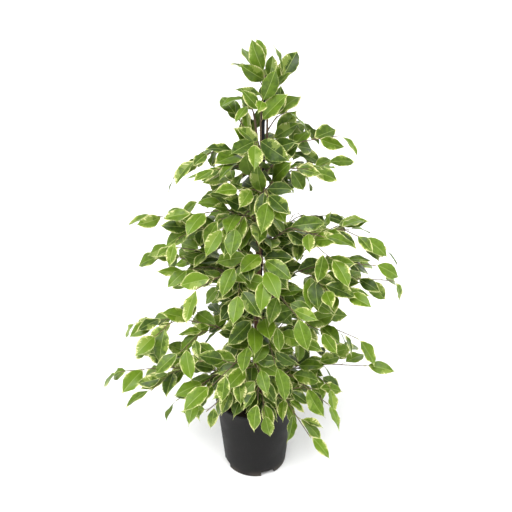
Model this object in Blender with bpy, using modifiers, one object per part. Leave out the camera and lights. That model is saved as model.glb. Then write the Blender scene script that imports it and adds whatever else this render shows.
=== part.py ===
"""A weeping fig with cream-edged leaves: three stems tied to a cane, in a plain black nursery pot.

Metres, +Z up. The origin is the middle of the pot's flat base, and -Y is the plant's front.
Headings are degrees about +Z: 0 is right, 90 is back, 180 is left and 270 is front.
"""

import math
import random
from collections import namedtuple

import bmesh
import bpy
from mathutils import Matrix, Vector
from mathutils.bvhtree import BVHTree

# Pot
GAP = 0.0003
POT_HEIGHT = 0.195
POT_RIM_RADIUS = 0.105
POT_BASE_RADIUS = 0.083
POT_WALL = 0.0022
POT_FLOOR = 0.003
POT_SIDES = 24
LIP_HEIGHT = 0.006
LIP_OUT = 0.0015
EDGE_ROUND = 0.0009
RECESS_COUNT = 4
RECESS_HEADING = 293.6
RECESS_WIDTH = 0.0375
RECESS_HEIGHT = 0.013
RECESS_DEPTH = 0.016
DRAIN_RADIUS = 0.004
PLUG_HEIGHT = 0.05
CUT_PAST = 0.002

# Soil
SOIL_MIDDLE = 0.180
SOIL_EDGE = 0.174
SOIL_CROWN_SHARE = 0.55
SOIL_CROWN_FALL = 0.001
HOLE_PAST = 0.01

# Cane and its two ties
CANE_RADIUS = 0.004
CANE_FOOT = Vector((0.0078, 0.002, 0.022))
CANE_TOP = Vector((0.0188, 0.002, 0.972))
TIE_HEIGHTS = (0.617, 0.780)
TIE_WIRE = 0.0009
TIE_CLEARANCE = 0.0005
TIE_STEPS = 12

# Stems: the points that each runs through, and its radius at the soil and at its top
Stem = namedtuple("Stem", "points low_radius top_radius sides")
STEMS = {
    "a": Stem(
        (
            (-0.0020, 0.0120, 0.110),
            (-0.0020, 0.0120, 0.190),
            (-0.0030, 0.0100, 0.260),
            (0.0010, 0.0040, 0.360),
            (0.0037, 0.0030, 0.480),
            (0.0056, 0.0020, 0.617),
            (0.0083, 0.0020, 0.780),
            (0.0060, 0.0020, 0.840),
            (-0.0010, 0.0040, 0.890),
        ),
        0.0060,
        0.0026,
        8,
    ),
    "b": Stem(
        (
            (0.0180, 0.0260, 0.120),
            (0.0180, 0.0260, 0.190),
            (0.0150, 0.0200, 0.300),
            (0.0135, 0.0135, 0.450),
            (0.0130, 0.0105, 0.617),
            (0.0180, 0.0110, 0.780),
            (0.0265, 0.0060, 0.840),
            (0.0275, 0.0020, 0.948),
        ),
        0.0045,
        0.0022,
        6,
    ),
    "c": Stem(
        (
            (0.0100, -0.0150, 0.120),
            (0.0100, -0.0150, 0.190),
            (0.0110, -0.0120, 0.320),
            (0.0115, -0.0080, 0.460),
            (0.0118, -0.0064, 0.617),
            (0.0135, -0.0064, 0.780),
            (0.0120, -0.0140, 0.870),
        ),
        0.0042,
        0.0021,
        6,
    ),
}

# Leafy sprays: the stem, the height it leaves at, its heading, how far out and how high its tip is, how
# much it bows above the straight line, and how many side shoots it has
Spray = namedtuple("Spray", "stem height heading reach tip bow shoots")
SPRAYS = (
    Spray("a", 0.235, 190, 0.338, 0.290, 0.020, 3),
    Spray("a", 0.258, 203, 0.205, 0.225, 0.030, 2),
    Spray("a", 0.330, 183, 0.295, 0.405, 0.040, 3),
    Spray("c", 0.300, 236, 0.190, 0.330, 0.030, 2),
    Spray("a", 0.430, 188, 0.165, 0.530, 0.030, 1),
    Spray("a", 0.470, 171, 0.230, 0.560, 0.035, 2),
    Spray("a", 0.505, 180, 0.205, 0.600, 0.030, 1),
    Spray("a", 0.555, 186, 0.235, 0.680, 0.030, 2),
    Spray("a", 0.690, 170, 0.135, 0.705, 0.025, 1),
    Spray("a", 0.802, 187, 0.175, 0.785, 0.035, 1),
    Spray("b", 0.225, 352, 0.265, 0.285, 0.020, 2),
    Spray("c", 0.235, 307, 0.190, 0.195, 0.035, 1),
    Spray("c", 0.270, 326, 0.190, 0.250, 0.030, 1),
    Spray("b", 0.330, 350, 0.240, 0.370, 0.050, 2),
    Spray("b", 0.400, 3, 0.335, 0.500, 0.045, 2),
    Spray("b", 0.470, 346, 0.265, 0.570, 0.040, 2),
    Spray("b", 0.545, 355, 0.290, 0.600, 0.070, 2),
    Spray("b", 0.600, 18, 0.190, 0.660, 0.035, 1),
    Spray("b", 0.690, 8, 0.150, 0.790, 0.020, 1),
    Spray("b", 0.770, 355, 0.165, 0.855, 0.030, 1),
    Spray("c", 0.290, 268, 0.135, 0.275, 0.040, 1),
    Spray("c", 0.360, 284, 0.140, 0.370, 0.040, 1),
    Spray("c", 0.400, 259, 0.130, 0.415, 0.045, 1),
    Spray("c", 0.455, 298, 0.165, 0.490, 0.040, 1),
    Spray("c", 0.500, 226, 0.190, 0.550, 0.040, 1),
    Spray("c", 0.550, 273, 0.150, 0.580, 0.040, 1),
    Spray("c", 0.600, 320, 0.170, 0.655, 0.035, 1),
    Spray("c", 0.645, 247, 0.130, 0.680, 0.040, 1),
    Spray("c", 0.700, 278, 0.105, 0.735, 0.035, 1),
    Spray("c", 0.740, 216, 0.115, 0.790, 0.030, 0),
    Spray("c", 0.800, 262, 0.090, 0.845, 0.025, 0),
    Spray("b", 0.280, 58, 0.240, 0.340, 0.035, 1),
    Spray("b", 0.300, 118, 0.255, 0.380, 0.035, 1),
    Spray("b", 0.400, 88, 0.255, 0.480, 0.040, 1),
    Spray("a", 0.450, 140, 0.225, 0.525, 0.035, 1),
    Spray("b", 0.500, 45, 0.245, 0.580, 0.040, 1),
    Spray("a", 0.580, 117, 0.200, 0.660, 0.035, 1),
    Spray("b", 0.640, 68, 0.180, 0.725, 0.035, 1),
    Spray("a", 0.680, 143, 0.150, 0.755, 0.030, 0),
    Spray("b", 0.740, 96, 0.130, 0.825, 0.025, 0),
    Spray("b", 0.830, 38, 0.100, 0.885, 0.020, 0),
    Spray("a", 0.815, 163, 0.050, 0.895, 0.010, 0),
    Spray("b", 0.932, 128, 0.046, 0.992, 0.005, 0),
    Spray("b", 0.865, 345, 0.040, 0.905, 0.010, 0),
    Spray("b", 0.918, 338, 0.034, 0.972, 0.005, 0),
    Spray("c", 0.225, 214, 0.150, 0.215, 0.030, 1),
    Spray("c", 0.215, 276, 0.105, 0.225, 0.035, 1),
    Spray("b", 0.725, 322, 0.125, 0.790, 0.030, 1),
    Spray("a", 0.635, 205, 0.150, 0.690, 0.035, 1),
)

# Leafy leaders that carry on from the stems' tops: the stem, heading, reach from the stem's top and height
Leader = namedtuple("Leader", "stem heading reach tip")
LEADERS = (
    Leader("a", 190, 0.016, 0.930),
    Leader("b", 165, 0.012, 0.990),
    Leader("c", 280, 0.012, 0.925),
)

# The crown's edge as it is seen from the front: the places (across, height) where lines of sight from
# SIGHT_FROM that graze it meet the plane y = 0, from its top down the left side and up the right side
SIGHT_FROM = Vector((0.002, -1.032, 0.897))
CROWN_EDGE = (
    (-0.005, 1.060), (-0.065, 1.040), (-0.060, 1.020), (-0.010, 0.980), (-0.065, 0.940), (-0.060, 0.890),
    (-0.035, 0.835), (-0.110, 0.825), (-0.175, 0.795), (-0.195, 0.745), (-0.105, 0.745), (-0.085, 0.735),
    (-0.165, 0.710), (-0.245, 0.685), (-0.285, 0.635), (-0.225, 0.645), (-0.260, 0.595), (-0.285, 0.535),
    (-0.230, 0.530), (-0.250, 0.485), (-0.125, 0.490), (-0.185, 0.450), (-0.345, 0.390), (-0.310, 0.340),
    (-0.285, 0.320), (-0.250, 0.265), (-0.350, 0.285), (-0.400, 0.250), (-0.345, 0.180), (-0.200, 0.180),
    (-0.175, 0.110), (-0.120, 0.100), (-0.025, 0.065),
    (0.025, 0.080), (0.085, 0.120), (0.090, -0.005), (0.130, 0.110), (0.210, -0.010), (0.280, 0.045),
    (0.200, 0.170), (0.255, 0.170), (0.230, 0.230), (0.175, 0.260), (0.225, 0.290), (0.350, 0.240),
    (0.340, 0.320), (0.205, 0.370), (0.255, 0.385), (0.195, 0.445), (0.250, 0.475), (0.310, 0.435),
    (0.400, 0.445), (0.415, 0.490), (0.350, 0.515), (0.325, 0.590), (0.285, 0.640), (0.220, 0.685),
    (0.095, 0.660), (0.065, 0.715), (0.160, 0.740), (0.150, 0.785), (0.225, 0.780), (0.240, 0.820),
    (0.185, 0.870), (0.100, 0.870), (0.095, 0.945), (0.060, 0.960), (0.090, 0.990), (0.080, 1.015),
    (0.035, 1.045),
)

# Gaps in the crown, on the same plane, through which the light shows: their place (across, height) and radius
LIGHT_GAPS = (
    (-0.015, 0.960, 0.015), (-0.120, 0.785, 0.020), (-0.075, 0.775, 0.015), (-0.045, 0.785, 0.015),
    (-0.075, 0.695, 0.020), (-0.045, 0.670, 0.015), (-0.200, 0.645, 0.015), (-0.235, 0.605, 0.015),
    (-0.070, 0.605, 0.015), (0.100, 0.795, 0.015), (0.130, 0.760, 0.020), (0.195, 0.650, 0.020),
    (0.235, 0.635, 0.020), (0.150, 0.595, 0.020), (0.190, 0.585, 0.020), (0.225, 0.590, 0.020),
    (0.290, 0.520, 0.020), (0.330, 0.500, 0.015), (-0.120, 0.495, 0.020), (-0.155, 0.470, 0.015),
    (-0.230, 0.555, 0.015), (-0.200, 0.365, 0.015), (-0.160, 0.335, 0.015), (-0.245, 0.325, 0.015),
    (-0.095, 0.345, 0.020), (-0.130, 0.145, 0.020), (0.150, 0.110, 0.025), (0.225, 0.385, 0.020),
)

# How a leaf's place in the crown is judged: the size of a cell of the view, where the blade is looked at
# along and across, what each cell that it shows is worth, and what one outside the crown or in a gap costs
SIGHT_CELL = 0.008
SIGHT_ALONG = (0.04, 0.14, 0.24, 0.34, 0.44, 0.54, 0.64, 0.74, 0.84, 0.94)
SIGHT_ACROSS = (-0.85, -0.42, 0, 0.42, 0.85)
SHOWN_WORTH = 0.4
OUTSIDE_COST = 1.7

# Twigs: their sizes, and how side shoots are set along them and turned, as shares of the lengths
TWIG_PIECE = 0.085
TWIG_ROOT_RADIUS = 0.0019
TWIG_TIP_RADIUS = 0.0010
SHOOT_ROOT_RADIUS = 0.0013
COLLAR_LENGTH = 0.005
COLLAR_FLARE = 1.15
BARE_SHARE = 0.12
LEAST_BARE = 0.022
SHOOT_FIRST = 0.34
SHOOT_SPAN = 0.42
SHOOT_SHIFT = 0.04
SHOOT_ANGLE = 48
SHOOT_ANGLE_VARIES = 8
SHOOT_LEAST = 0.035
SHOOT_REACH = 0.42
SHOOT_FALL = 1.05
SHOOT_RISE = (-0.15, 0.35)
SHOOT_BOW = 0.12
SHOOT_BARE_SHARE = 0.42
SHOOT_SCALE = 0.95
LEADER_BEND = 0.018
LEADER_BARE = 0.010

# How leaves are spaced and sized along a twig
INTERNODE = 0.0545
LEADER_INTERNODE = 0.017
INTERNODE_VARIES = (0.85, 1.15)
CROWDING = (1.25, 0.70)
TIP_ROOM = 0.45
TIP_INSET = 0.003
ROOT_SCALE = 1.04
SCALE_FALL = 0.22
TIP_SCALE = 0.86

# Leaves
LEAF_LENGTH = 0.081
LEAF_WIDTH_SHARE = 0.55
STALK_LENGTH = 0.013
STALK_RADIUS = 0.00055
MIDRIB_THICKNESS = 0.0014
BROAD_SHARE = 0.24
BROAD_WIDTH = 0.96
NARROW_SHARE = 0.62
NARROW_WIDTH = 0.80
LENGTH_VARIES = (0.84, 1.16)
WIDTH_VARIES = (0.92, 1.10)
STALK_VARIES = (0.85, 1.25)
ARCH = (0.20, 0.75)
FOLD_DEGREES = (6, 20)

# How a leaf points and faces: its pull outwards, sideways and down, and towards the light
FORWARD = (0.80, 1.40)
SPREAD = (0.35, 1.05)
TIP_SPREAD = 0.15
DROOP = (-0.25, 1.10, 0.15)
STALK_LIFT = 0.35
STRAY = 0.12
ROLL = 0.28
FACE_UP = 0.75
FACE_OUT = 0.35
FACE_ACROSS = (-0.1, 0.4)
FRONT_LIGHT = Vector((0, -0.4, 0))

# How many ways a leaf is tried before it is left out, how many free ones it chooses from, and the room it
# keeps round it
ATTEMPTS = 30
CHOICES = 10
STRAY_GROWS = 12
MOST_DROOP = 1.4
SHRINK = 0.006
TEST_THICKNESS = 0.0036
TEST_MARGIN = 0.0010
FLOOR_CLEARANCE = 0.012

UP = Vector((0, 0, 1))

Leaf = namedtuple("Leaf", "root base along up length width arch fold")
Node = namedtuple("Node", "place tangent side scale")
Twig = namedtuple("Twig", "line root_radius tip_radius nodes")


def clear_scene():
    for old in list(bpy.data.objects):
        bpy.data.objects.remove(old, do_unlink=True)


def new_collection(name):
    collection = bpy.data.collections.new(name)
    bpy.context.scene.collection.children.link(collection)
    return collection


def new_material(name, colour, roughness):
    """A plain finish with one colour, as linear red, green and blue."""
    material = bpy.data.materials.new(name)
    material.use_nodes = True
    shader = material.node_tree.nodes["Principled BSDF"]
    shader.inputs["Base Color"].default_value = (*colour, 1)
    shader.inputs["Roughness"].default_value = roughness
    shader.inputs["Metallic"].default_value = 0
    material.diffuse_color = (*colour, 1)
    return material


def new_object(name, mesh, collection, material=None):
    made = bpy.data.objects.new(name, mesh)
    collection.objects.link(made)
    if material:
        mesh.materials.clear()
        mesh.materials.append(material)
    return made


def evaluated_mesh(source):
    """The object's mesh with its modifiers or its bevel worked out."""
    bpy.context.view_layer.update()
    graph = bpy.context.evaluated_depsgraph_get()
    return bpy.data.meshes.new_from_object(source.evaluated_get(graph))


def smooth(mesh, sharp_degrees=40):
    mesh.shade_smooth()
    mesh.set_sharp_from_angle(angle=math.radians(sharp_degrees))


def hide_cutter(cutter):
    cutter.hide_render = True
    cutter.display_type = "WIRE"


def combine(target, collection, operation):
    """Joins or cuts the target with all of a collection's objects, and applies it."""
    boolean = target.modifiers.new(operation.title(), "BOOLEAN")
    boolean.operation = operation
    boolean.operand_type = "COLLECTION"
    boolean.collection = collection
    material = target.data.materials[0]
    target.data = evaluated_mesh(target)
    target.modifiers.clear()
    target.data.materials.clear()
    target.data.materials.append(material)


def fuse(target, pieces):
    """Joins loose pieces to the target in one union, and removes them."""
    together = new_collection(target.name + "_pieces")
    for piece in pieces:
        together.objects.link(piece)
    combine(target, together, "UNION")
    for piece in pieces:
        bpy.data.objects.remove(piece, do_unlink=True)
    bpy.data.collections.remove(together)


def tube(name, line, radii, collection, material=None, sides=4, closed=False):
    """A bar along a line of points, with its own radius at each point and flat ends, as a mesh."""
    curve = bpy.data.curves.new(name, "CURVE")
    curve.dimensions = "3D"
    curve.bevel_depth = 1
    curve.bevel_resolution = (sides - 4) // 2
    curve.use_fill_caps = not closed
    spline = curve.splines.new("POLY")
    spline.points.add(len(line) - 1)
    spline.use_cyclic_u = closed
    for point, place, radius in zip(spline.points, line, radii):
        point.co = (*place, 1)
        point.radius = radius
        point.tilt = math.pi / 4
    guide = bpy.data.objects.new(name + "_curve", curve)
    collection.objects.link(guide)
    mesh = evaluated_mesh(guide)
    bpy.data.objects.remove(guide, do_unlink=True)
    bpy.data.curves.remove(curve)
    weld(mesh)
    return new_object(name, mesh, collection, material)


def weld(mesh):
    """Closes a curve's loose caps and turns all faces outwards."""
    work = bmesh.new()
    work.from_mesh(mesh)
    bmesh.ops.remove_doubles(work, verts=work.verts, dist=0.00001)
    bmesh.ops.recalc_face_normals(work, faces=work.faces)
    work.to_mesh(mesh)
    work.free()


def turned(name, profile, collection, material):
    """A solid turned about +Z from a profile of (radius, height) points, its outer side running down."""
    mesh = bpy.data.meshes.new(name)
    points = [(radius, 0, height) for radius, height in profile]
    mesh.from_pydata(points, [(i, i + 1) for i in range(len(points) - 1)], [])
    made = new_object(name, mesh, collection, material)
    screw = made.modifiers.new("Turn", "SCREW")
    screw.steps = POT_SIDES
    screw.render_steps = POT_SIDES
    screw.use_merge_vertices = True
    screw.merge_threshold = 0.0001
    return made


def block(name, centre, size, heading, collection):
    """A box turned to a heading, its first size lying along that heading."""
    mesh = bpy.data.meshes.new(name)
    work = bmesh.new()
    bmesh.ops.create_cube(work, size=1)
    bmesh.ops.scale(work, verts=work.verts, vec=size)
    work.to_mesh(mesh)
    work.free()
    made = new_object(name, mesh, collection)
    turn = Matrix.Rotation(math.radians(heading), 4, "Z")
    mesh.transform(Matrix.Translation(centre) @ turn)
    return made


def heading_vector(degrees):
    return Vector((math.cos(math.radians(degrees)), math.sin(math.radians(degrees)), 0))


def wall_radius(height):
    """The pot wall's outer radius at a height, below its lip."""
    top = POT_RIM_RADIUS - LIP_OUT
    return POT_BASE_RADIUS + (top - POT_BASE_RADIUS) * height / POT_HEIGHT


def recess_blocks(name, grow, low, collection):
    """One block at each drainage recess, grown sideways, upwards and inwards, and past the wall outside."""
    blocks = []
    outer = wall_radius(RECESS_HEIGHT) + HOLE_PAST
    inner = POT_BASE_RADIUS - RECESS_DEPTH - grow
    high = RECESS_HEIGHT + grow
    for number in range(RECESS_COUNT):
        heading = RECESS_HEADING + 360 / RECESS_COUNT * number
        centre = heading_vector(heading) * (inner + outer) / 2 + UP * (low + high) / 2
        size = (outer - inner, RECESS_WIDTH + 2 * grow, high - low)
        blocks.append(block(f"{name}_{number + 1}", centre, size, heading, collection))
    return blocks


def make_pot(parts, cutters, material):
    inner_top = POT_RIM_RADIUS - LIP_OUT - POT_WALL
    profile = (
        (0, POT_FLOOR),
        (wall_radius(POT_FLOOR) - POT_WALL, POT_FLOOR),
        (inner_top, POT_HEIGHT - EDGE_ROUND),
        (inner_top + EDGE_ROUND, POT_HEIGHT),
        (POT_RIM_RADIUS - EDGE_ROUND, POT_HEIGHT),
        (POT_RIM_RADIUS, POT_HEIGHT - EDGE_ROUND),
        (POT_RIM_RADIUS, POT_HEIGHT - LIP_HEIGHT),
        (wall_radius(POT_HEIGHT - LIP_HEIGHT - LIP_OUT), POT_HEIGHT - LIP_HEIGHT - LIP_OUT),
        (wall_radius(EDGE_ROUND), EDGE_ROUND),
        (POT_BASE_RADIUS - EDGE_ROUND, 0),
        (0, 0),
    )
    pot = turned("pot", profile, parts, material)
    pot.data = evaluated_mesh(pot)
    pot.modifiers.clear()
    limit = new_collection("recess_limit")
    plug_profile = (
        (0, PLUG_HEIGHT),
        (wall_radius(PLUG_HEIGHT) - POT_WALL / 2, PLUG_HEIGHT),
        (wall_radius(0) - POT_WALL / 2, POT_FLOOR / 2),
        (0, POT_FLOOR / 2),
    )
    plug = turned("recess_plug", plug_profile, limit, material)
    walls = recess_blocks("recess_wall", POT_WALL, 0, parts)
    for wall in walls:
        wall.data.materials.append(material)
        combine(wall, limit, "INTERSECT")
    bpy.data.objects.remove(plug, do_unlink=True)
    bpy.data.collections.remove(limit)
    fuse(pot, walls)
    recess_blocks("recess_cutter", 0, -CUT_PAST, cutters)
    for number in range(RECESS_COUNT):
        heading = RECESS_HEADING + 360 / RECESS_COUNT * number
        middle = heading_vector(heading) * (POT_BASE_RADIUS - RECESS_DEPTH / 2 - POT_WALL)
        low = middle + UP * (RECESS_HEIGHT - CUT_PAST)
        high = middle + UP * (RECESS_HEIGHT + POT_WALL + CUT_PAST)
        tube(f"drain_cutter_{number + 1}", (low, high), (DRAIN_RADIUS, DRAIN_RADIUS), cutters, sides=8)
    for cutter in cutters.objects:
        hide_cutter(cutter)
    combine(pot, cutters, "DIFFERENCE")
    smooth(pot.data)
    return pot


def stem_radius(stem, height):
    """The stem's radius at a height: thickest at the soil, and even below it."""
    low, top = stem.points[1][2], stem.points[-1][2]
    share = min(max((height - low) / (top - low), 0), 1)
    return stem.low_radius + (stem.top_radius - stem.low_radius) * share


def stem_point(stem, height):
    """The middle of the stem at a height."""
    for low, high in zip(stem.points, stem.points[1:]):
        if height <= high[2]:
            share = (height - low[2]) / (high[2] - low[2])
            return Vector(low).lerp(Vector(high), share)
    return Vector(stem.points[-1])


def make_soil(parts, material):
    """The soil, a gap clear of the pot, with a plain hole for each stem and for the cane."""
    bottom = POT_FLOOR + GAP
    clear = POT_WALL + 2 * GAP
    profile = (
        (0, SOIL_MIDDLE),
        (wall_radius(SOIL_EDGE) * SOIL_CROWN_SHARE, SOIL_MIDDLE - SOIL_CROWN_FALL),
        (wall_radius(SOIL_EDGE) - clear, SOIL_EDGE),
        (wall_radius(bottom) - clear, bottom),
        (0, bottom),
    )
    soil = turned("soil", profile, parts, material)
    soil.data = evaluated_mesh(soil)
    soil.modifiers.clear()
    holes = new_collection("soil_cutters")
    for cutter in recess_blocks("soil_recess", POT_WALL + GAP, -CUT_PAST, holes):
        hide_cutter(cutter)
    for name, stem in STEMS.items():
        foot = Vector(stem.points[0]) - UP * GAP
        top = Vector(stem.points[1]) + UP * HOLE_PAST
        wide = stem.low_radius + 2 * GAP
        hide_cutter(tube(f"stem_hole_{name}", (foot, top), (wide, wide), holes, sides=stem.sides))
    lean = (CANE_TOP - CANE_FOOT).normalized()
    foot = CANE_FOOT - lean * GAP
    top = CANE_FOOT + lean * (SOIL_MIDDLE + HOLE_PAST)
    wide = CANE_RADIUS + 2 * GAP
    hide_cutter(tube("cane_hole", (foot, top), (wide, wide), holes, sides=8))
    combine(soil, holes, "DIFFERENCE")
    smooth(soil.data)
    return soil


def make_cane(parts, material):
    cane = tube("cane", (CANE_FOOT, CANE_TOP), (CANE_RADIUS, CANE_RADIUS), parts, material, sides=8)
    smooth(cane.data)
    return cane


def make_tie(name, height, parts, material):
    """A wire drawn round the stems and the cane: it runs round each of them and straight between."""
    share = (height - CANE_FOOT.z) / (CANE_TOP.z - CANE_FOOT.z)
    held = [(CANE_FOOT.lerp(CANE_TOP, share), CANE_RADIUS)]
    held += [(stem_point(stem, height), stem_radius(stem, height)) for stem in STEMS.values()]
    line = []
    for step in range(TIE_STEPS):
        out = heading_vector(360 / TIE_STEPS * step)
        centre, radius = max(held, key=lambda round_piece: round_piece[0].dot(out) + round_piece[1])
        spot = centre + out * (radius + TIE_CLEARANCE + TIE_WIRE)
        line.append(Vector((spot.x, spot.y, height)))
    tie = tube(name, line, [TIE_WIRE] * len(line), parts, material, sides=4, closed=True)
    smooth(tie.data)
    return tie


def twig_line(start, end, bow, pieces):
    """Points of a twig that rises from its start and bows over to its end."""
    line = []
    for step in range(pieces + 1):
        share = step / pieces
        line.append(start.lerp(end, share) + UP * 4 * bow * share * (1 - share))
    return line


def line_lengths(line):
    lengths = [0.0]
    for here, there in zip(line, line[1:]):
        lengths.append(lengths[-1] + (there - here).length)
    return lengths


def line_point(line, distance):
    """The point and the direction at a distance along a line."""
    lengths = line_lengths(line)
    for number, reached in enumerate(lengths[1:]):
        if distance <= reached or number == len(lengths) - 2:
            step = line[number + 1] - line[number]
            share = (distance - lengths[number]) / step.length
            return line[number] + step * share, step.normalized()


def leaf_nodes(draw, line, bare, scale, internode=INTERNODE):
    """Where leaves stand on a twig: on alternate sides past its bare root, and one at its tip."""
    length = line_lengths(line)[-1]
    side = draw.choice((-1, 1))
    nodes = []
    distance = bare
    while distance < length - internode * TIP_ROOM:
        place, tangent = line_point(line, distance)
        along = distance / length
        nodes.append(Node(place, tangent, side, scale * (ROOT_SCALE - SCALE_FALL * along)))
        side = -side
        crowding = CROWDING[0] + (CROWDING[1] - CROWDING[0]) * along
        distance += internode * crowding * draw.uniform(*INTERNODE_VARIES)
    tangent = (line[-1] - line[-2]).normalized()
    nodes.append(Node(line[-1] - tangent * TIP_INSET, tangent, 0, scale * TIP_SCALE))
    return nodes


def spray_twigs(name, spray):
    """The spray's main twig and its side shoots."""
    draw = random.Random(name)
    stem = STEMS[spray.stem]
    axis = stem_point(stem, spray.height)
    out = heading_vector(spray.heading)
    end = Vector((axis.x, axis.y, spray.tip)) + out * spray.reach
    pieces = max(2, round(spray.reach / TWIG_PIECE))
    line = twig_line(axis, end, spray.bow, pieces)
    first = (line[1] - line[0]).normalized()
    flat = math.hypot(first.x, first.y)
    collar = stem_radius(stem, spray.height) / flat + COLLAR_LENGTH
    line[0] = axis + first * (collar + GAP)
    length = line_lengths(line)[-1]
    nodes = leaf_nodes(draw, line, max(length * BARE_SHARE, LEAST_BARE), 1)
    twigs = [Twig(line, TWIG_ROOT_RADIUS, TWIG_TIP_RADIUS, nodes)]
    side = draw.choice((-1, 1))
    for number in range(spray.shoots):
        share = SHOOT_FIRST + SHOOT_SPAN * number / spray.shoots
        share += draw.uniform(-SHOOT_SHIFT, SHOOT_SHIFT)
        start, tangent = line_point(line, length * share)
        angle = SHOOT_ANGLE + draw.uniform(-SHOOT_ANGLE_VARIES, SHOOT_ANGLE_VARIES)
        turned_out = spray.heading + side * angle
        shoot_length = SHOOT_LEAST + SHOOT_REACH * spray.reach * (SHOOT_FALL - share)
        rise = shoot_length * draw.uniform(*SHOOT_RISE)
        shoot_end = start + heading_vector(turned_out) * shoot_length + UP * rise
        shoot = twig_line(start, shoot_end, shoot_length * SHOOT_BOW, 2)
        shoot_nodes = leaf_nodes(draw, shoot, shoot_length * SHOOT_BARE_SHARE, SHOOT_SCALE)
        twigs.append(Twig(shoot, SHOOT_ROOT_RADIUS, TWIG_TIP_RADIUS, shoot_nodes))
        side = -side
    return twigs


def leader_twigs(name, leader):
    """A leafy tip that carries on from a stem's top."""
    draw = random.Random(name)
    points = STEMS[leader.stem].points
    top = Vector(points[-1])
    onward = (top - Vector(points[-2])).normalized()
    end = Vector((top.x, top.y, leader.tip)) + heading_vector(leader.heading) * leader.reach
    line = [top + onward * GAP, top + onward * LEADER_BEND, end]
    nodes = leaf_nodes(draw, line, LEADER_BARE, SHOOT_SCALE, LEADER_INTERNODE)
    return [Twig(line, STEMS[leader.stem].top_radius, TWIG_TIP_RADIUS, nodes)]


def leaf_on(name, number, attempt, node):
    """One way for a leaf to grow from its node; each later attempt strays further from the first."""
    draw = random.Random(f"{name} {number} {attempt}")
    stray = 1 + attempt / STRAY_GROWS
    level = Vector((node.tangent.x, node.tangent.y, 0))
    level = level.normalized() if level.length > 0.2 else heading_vector(draw.uniform(0, 360))
    across = UP.cross(level) * (node.side or draw.choice((-1, 1)))
    spread = draw.uniform(*SPREAD) if node.side else TIP_SPREAD
    droop = draw.triangular(*DROOP) * min(stray, MOST_DROOP)
    forward = draw.uniform(*FORWARD)
    stray_turn = Vector([draw.gauss(0, STRAY * stray) for _ in range(3)])
    along = (node.tangent * forward + across * spread - UP * droop + stray_turn).normalized()
    stalk = (along + node.tangent * 0.5 + UP * STALK_LIFT).normalized()
    roll = draw.gauss(0, ROLL * stray)
    facing = UP * FACE_UP + level * FACE_OUT + across * draw.uniform(*FACE_ACROSS) + FRONT_LIGHT
    lift = facing - along * facing.dot(along)
    lift = lift.normalized() if lift.length > 0.05 else along.orthogonal().normalized()
    lift = Matrix.Rotation(roll, 3, along) @ lift
    length = LEAF_LENGTH * node.scale * draw.uniform(*LENGTH_VARIES) * (1 - SHRINK * attempt)
    width = length * LEAF_WIDTH_SHARE * draw.uniform(*WIDTH_VARIES)
    base = node.place + stalk * STALK_LENGTH * draw.uniform(*STALK_VARIES)
    arch = draw.uniform(*ARCH)
    fold = math.radians(draw.uniform(*FOLD_DEGREES))
    return Leaf(node.place, base, along, lift, length, width, arch, fold)


def blade_place(leaf, share):
    """The middle of the blade at a share of its length, and its onward and upward directions there."""
    angle = leaf.arch * share
    turn_along = leaf.along * math.sin(angle) - leaf.up * (1 - math.cos(angle))
    middle = leaf.base + turn_along * leaf.length / leaf.arch
    onward = leaf.along * math.cos(angle) - leaf.up * math.sin(angle)
    upward = leaf.up * math.cos(angle) + leaf.along * math.sin(angle)
    return middle, onward, upward


def stalk_ring(middle, onward, across, radius):
    """Three points round the leaf stalk: two above and one below."""
    across = (across - onward * across.dot(onward)).normalized()
    above = across.cross(onward)
    return [
        middle - across * radius + above * radius * 0.5,
        middle + across * radius + above * radius * 0.5,
        middle - above * radius,
    ]


def blade_points(leaf, share, half_width, half_thickness):
    """The blade's left edge, middle above, right edge and middle below, at a share of its length."""
    middle, _, upward = blade_place(leaf, share)
    across = leaf.along.cross(leaf.up)
    lean = upward * math.sin(leaf.fold)
    left = middle + (lean - across * math.cos(leaf.fold)) * half_width
    right = middle + (lean + across * math.cos(leaf.fold)) * half_width
    rise = upward * half_thickness
    return [left, middle + rise, right, middle - rise]


def blade_fullness(share):
    """The blade's half width at a share of its length, as a share of its greatest one."""
    stops = ((0, 0), (BROAD_SHARE, BROAD_WIDTH), (NARROW_SHARE, NARROW_WIDTH), (1, 0))
    for (low, width), (high, next_width) in zip(stops, stops[1:]):
        if share <= high:
            return width + (next_width - width) * (share - low) / (high - low)


# The leaf's points are the stalk's root ring 0-2 and top ring 3-5, the blade's broad section 6-9 and
# narrow section 10-13, and its tip 14. Its faces are split alike above and below.
LEAF_FACES = (
    [(2, 1, 0)]
    + [face for i, j in ((0, 1), (1, 2), (2, 0)) for face in ((i, j, j + 3), (i, j + 3, i + 3))]
    + [(3, 7, 6), (3, 4, 7), (4, 8, 7), (5, 6, 9), (5, 9, 8), (3, 6, 5), (4, 5, 8)]
    + [(6, 7, 11), (6, 11, 10), (7, 8, 11), (8, 12, 11)]
    + [(6, 13, 9), (6, 10, 13), (9, 13, 8), (8, 13, 12)]
    + [(10, 11, 14), (11, 12, 14), (10, 14, 13), (13, 14, 12)]
)


def leaf_points(leaf, thickness=MIDRIB_THICKNESS, margin=0.0):
    """The leaf's points, or those of a fatter leaf to test the room round it."""
    stalk = (leaf.base - leaf.root).normalized()
    across = leaf.along.cross(leaf.up)
    half = leaf.width / 2
    tip = blade_place(leaf, 1 + margin / leaf.length)[0]
    return (
        stalk_ring(leaf.root, stalk, across, STALK_RADIUS)
        + stalk_ring(leaf.base, leaf.along, across, STALK_RADIUS + margin / 2)
        + blade_points(leaf, BROAD_SHARE, half * BROAD_WIDTH + margin, thickness / 2)
        + blade_points(leaf, NARROW_SHARE, half * NARROW_WIDTH + margin, thickness / 2)
        + [tip]
    )


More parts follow.
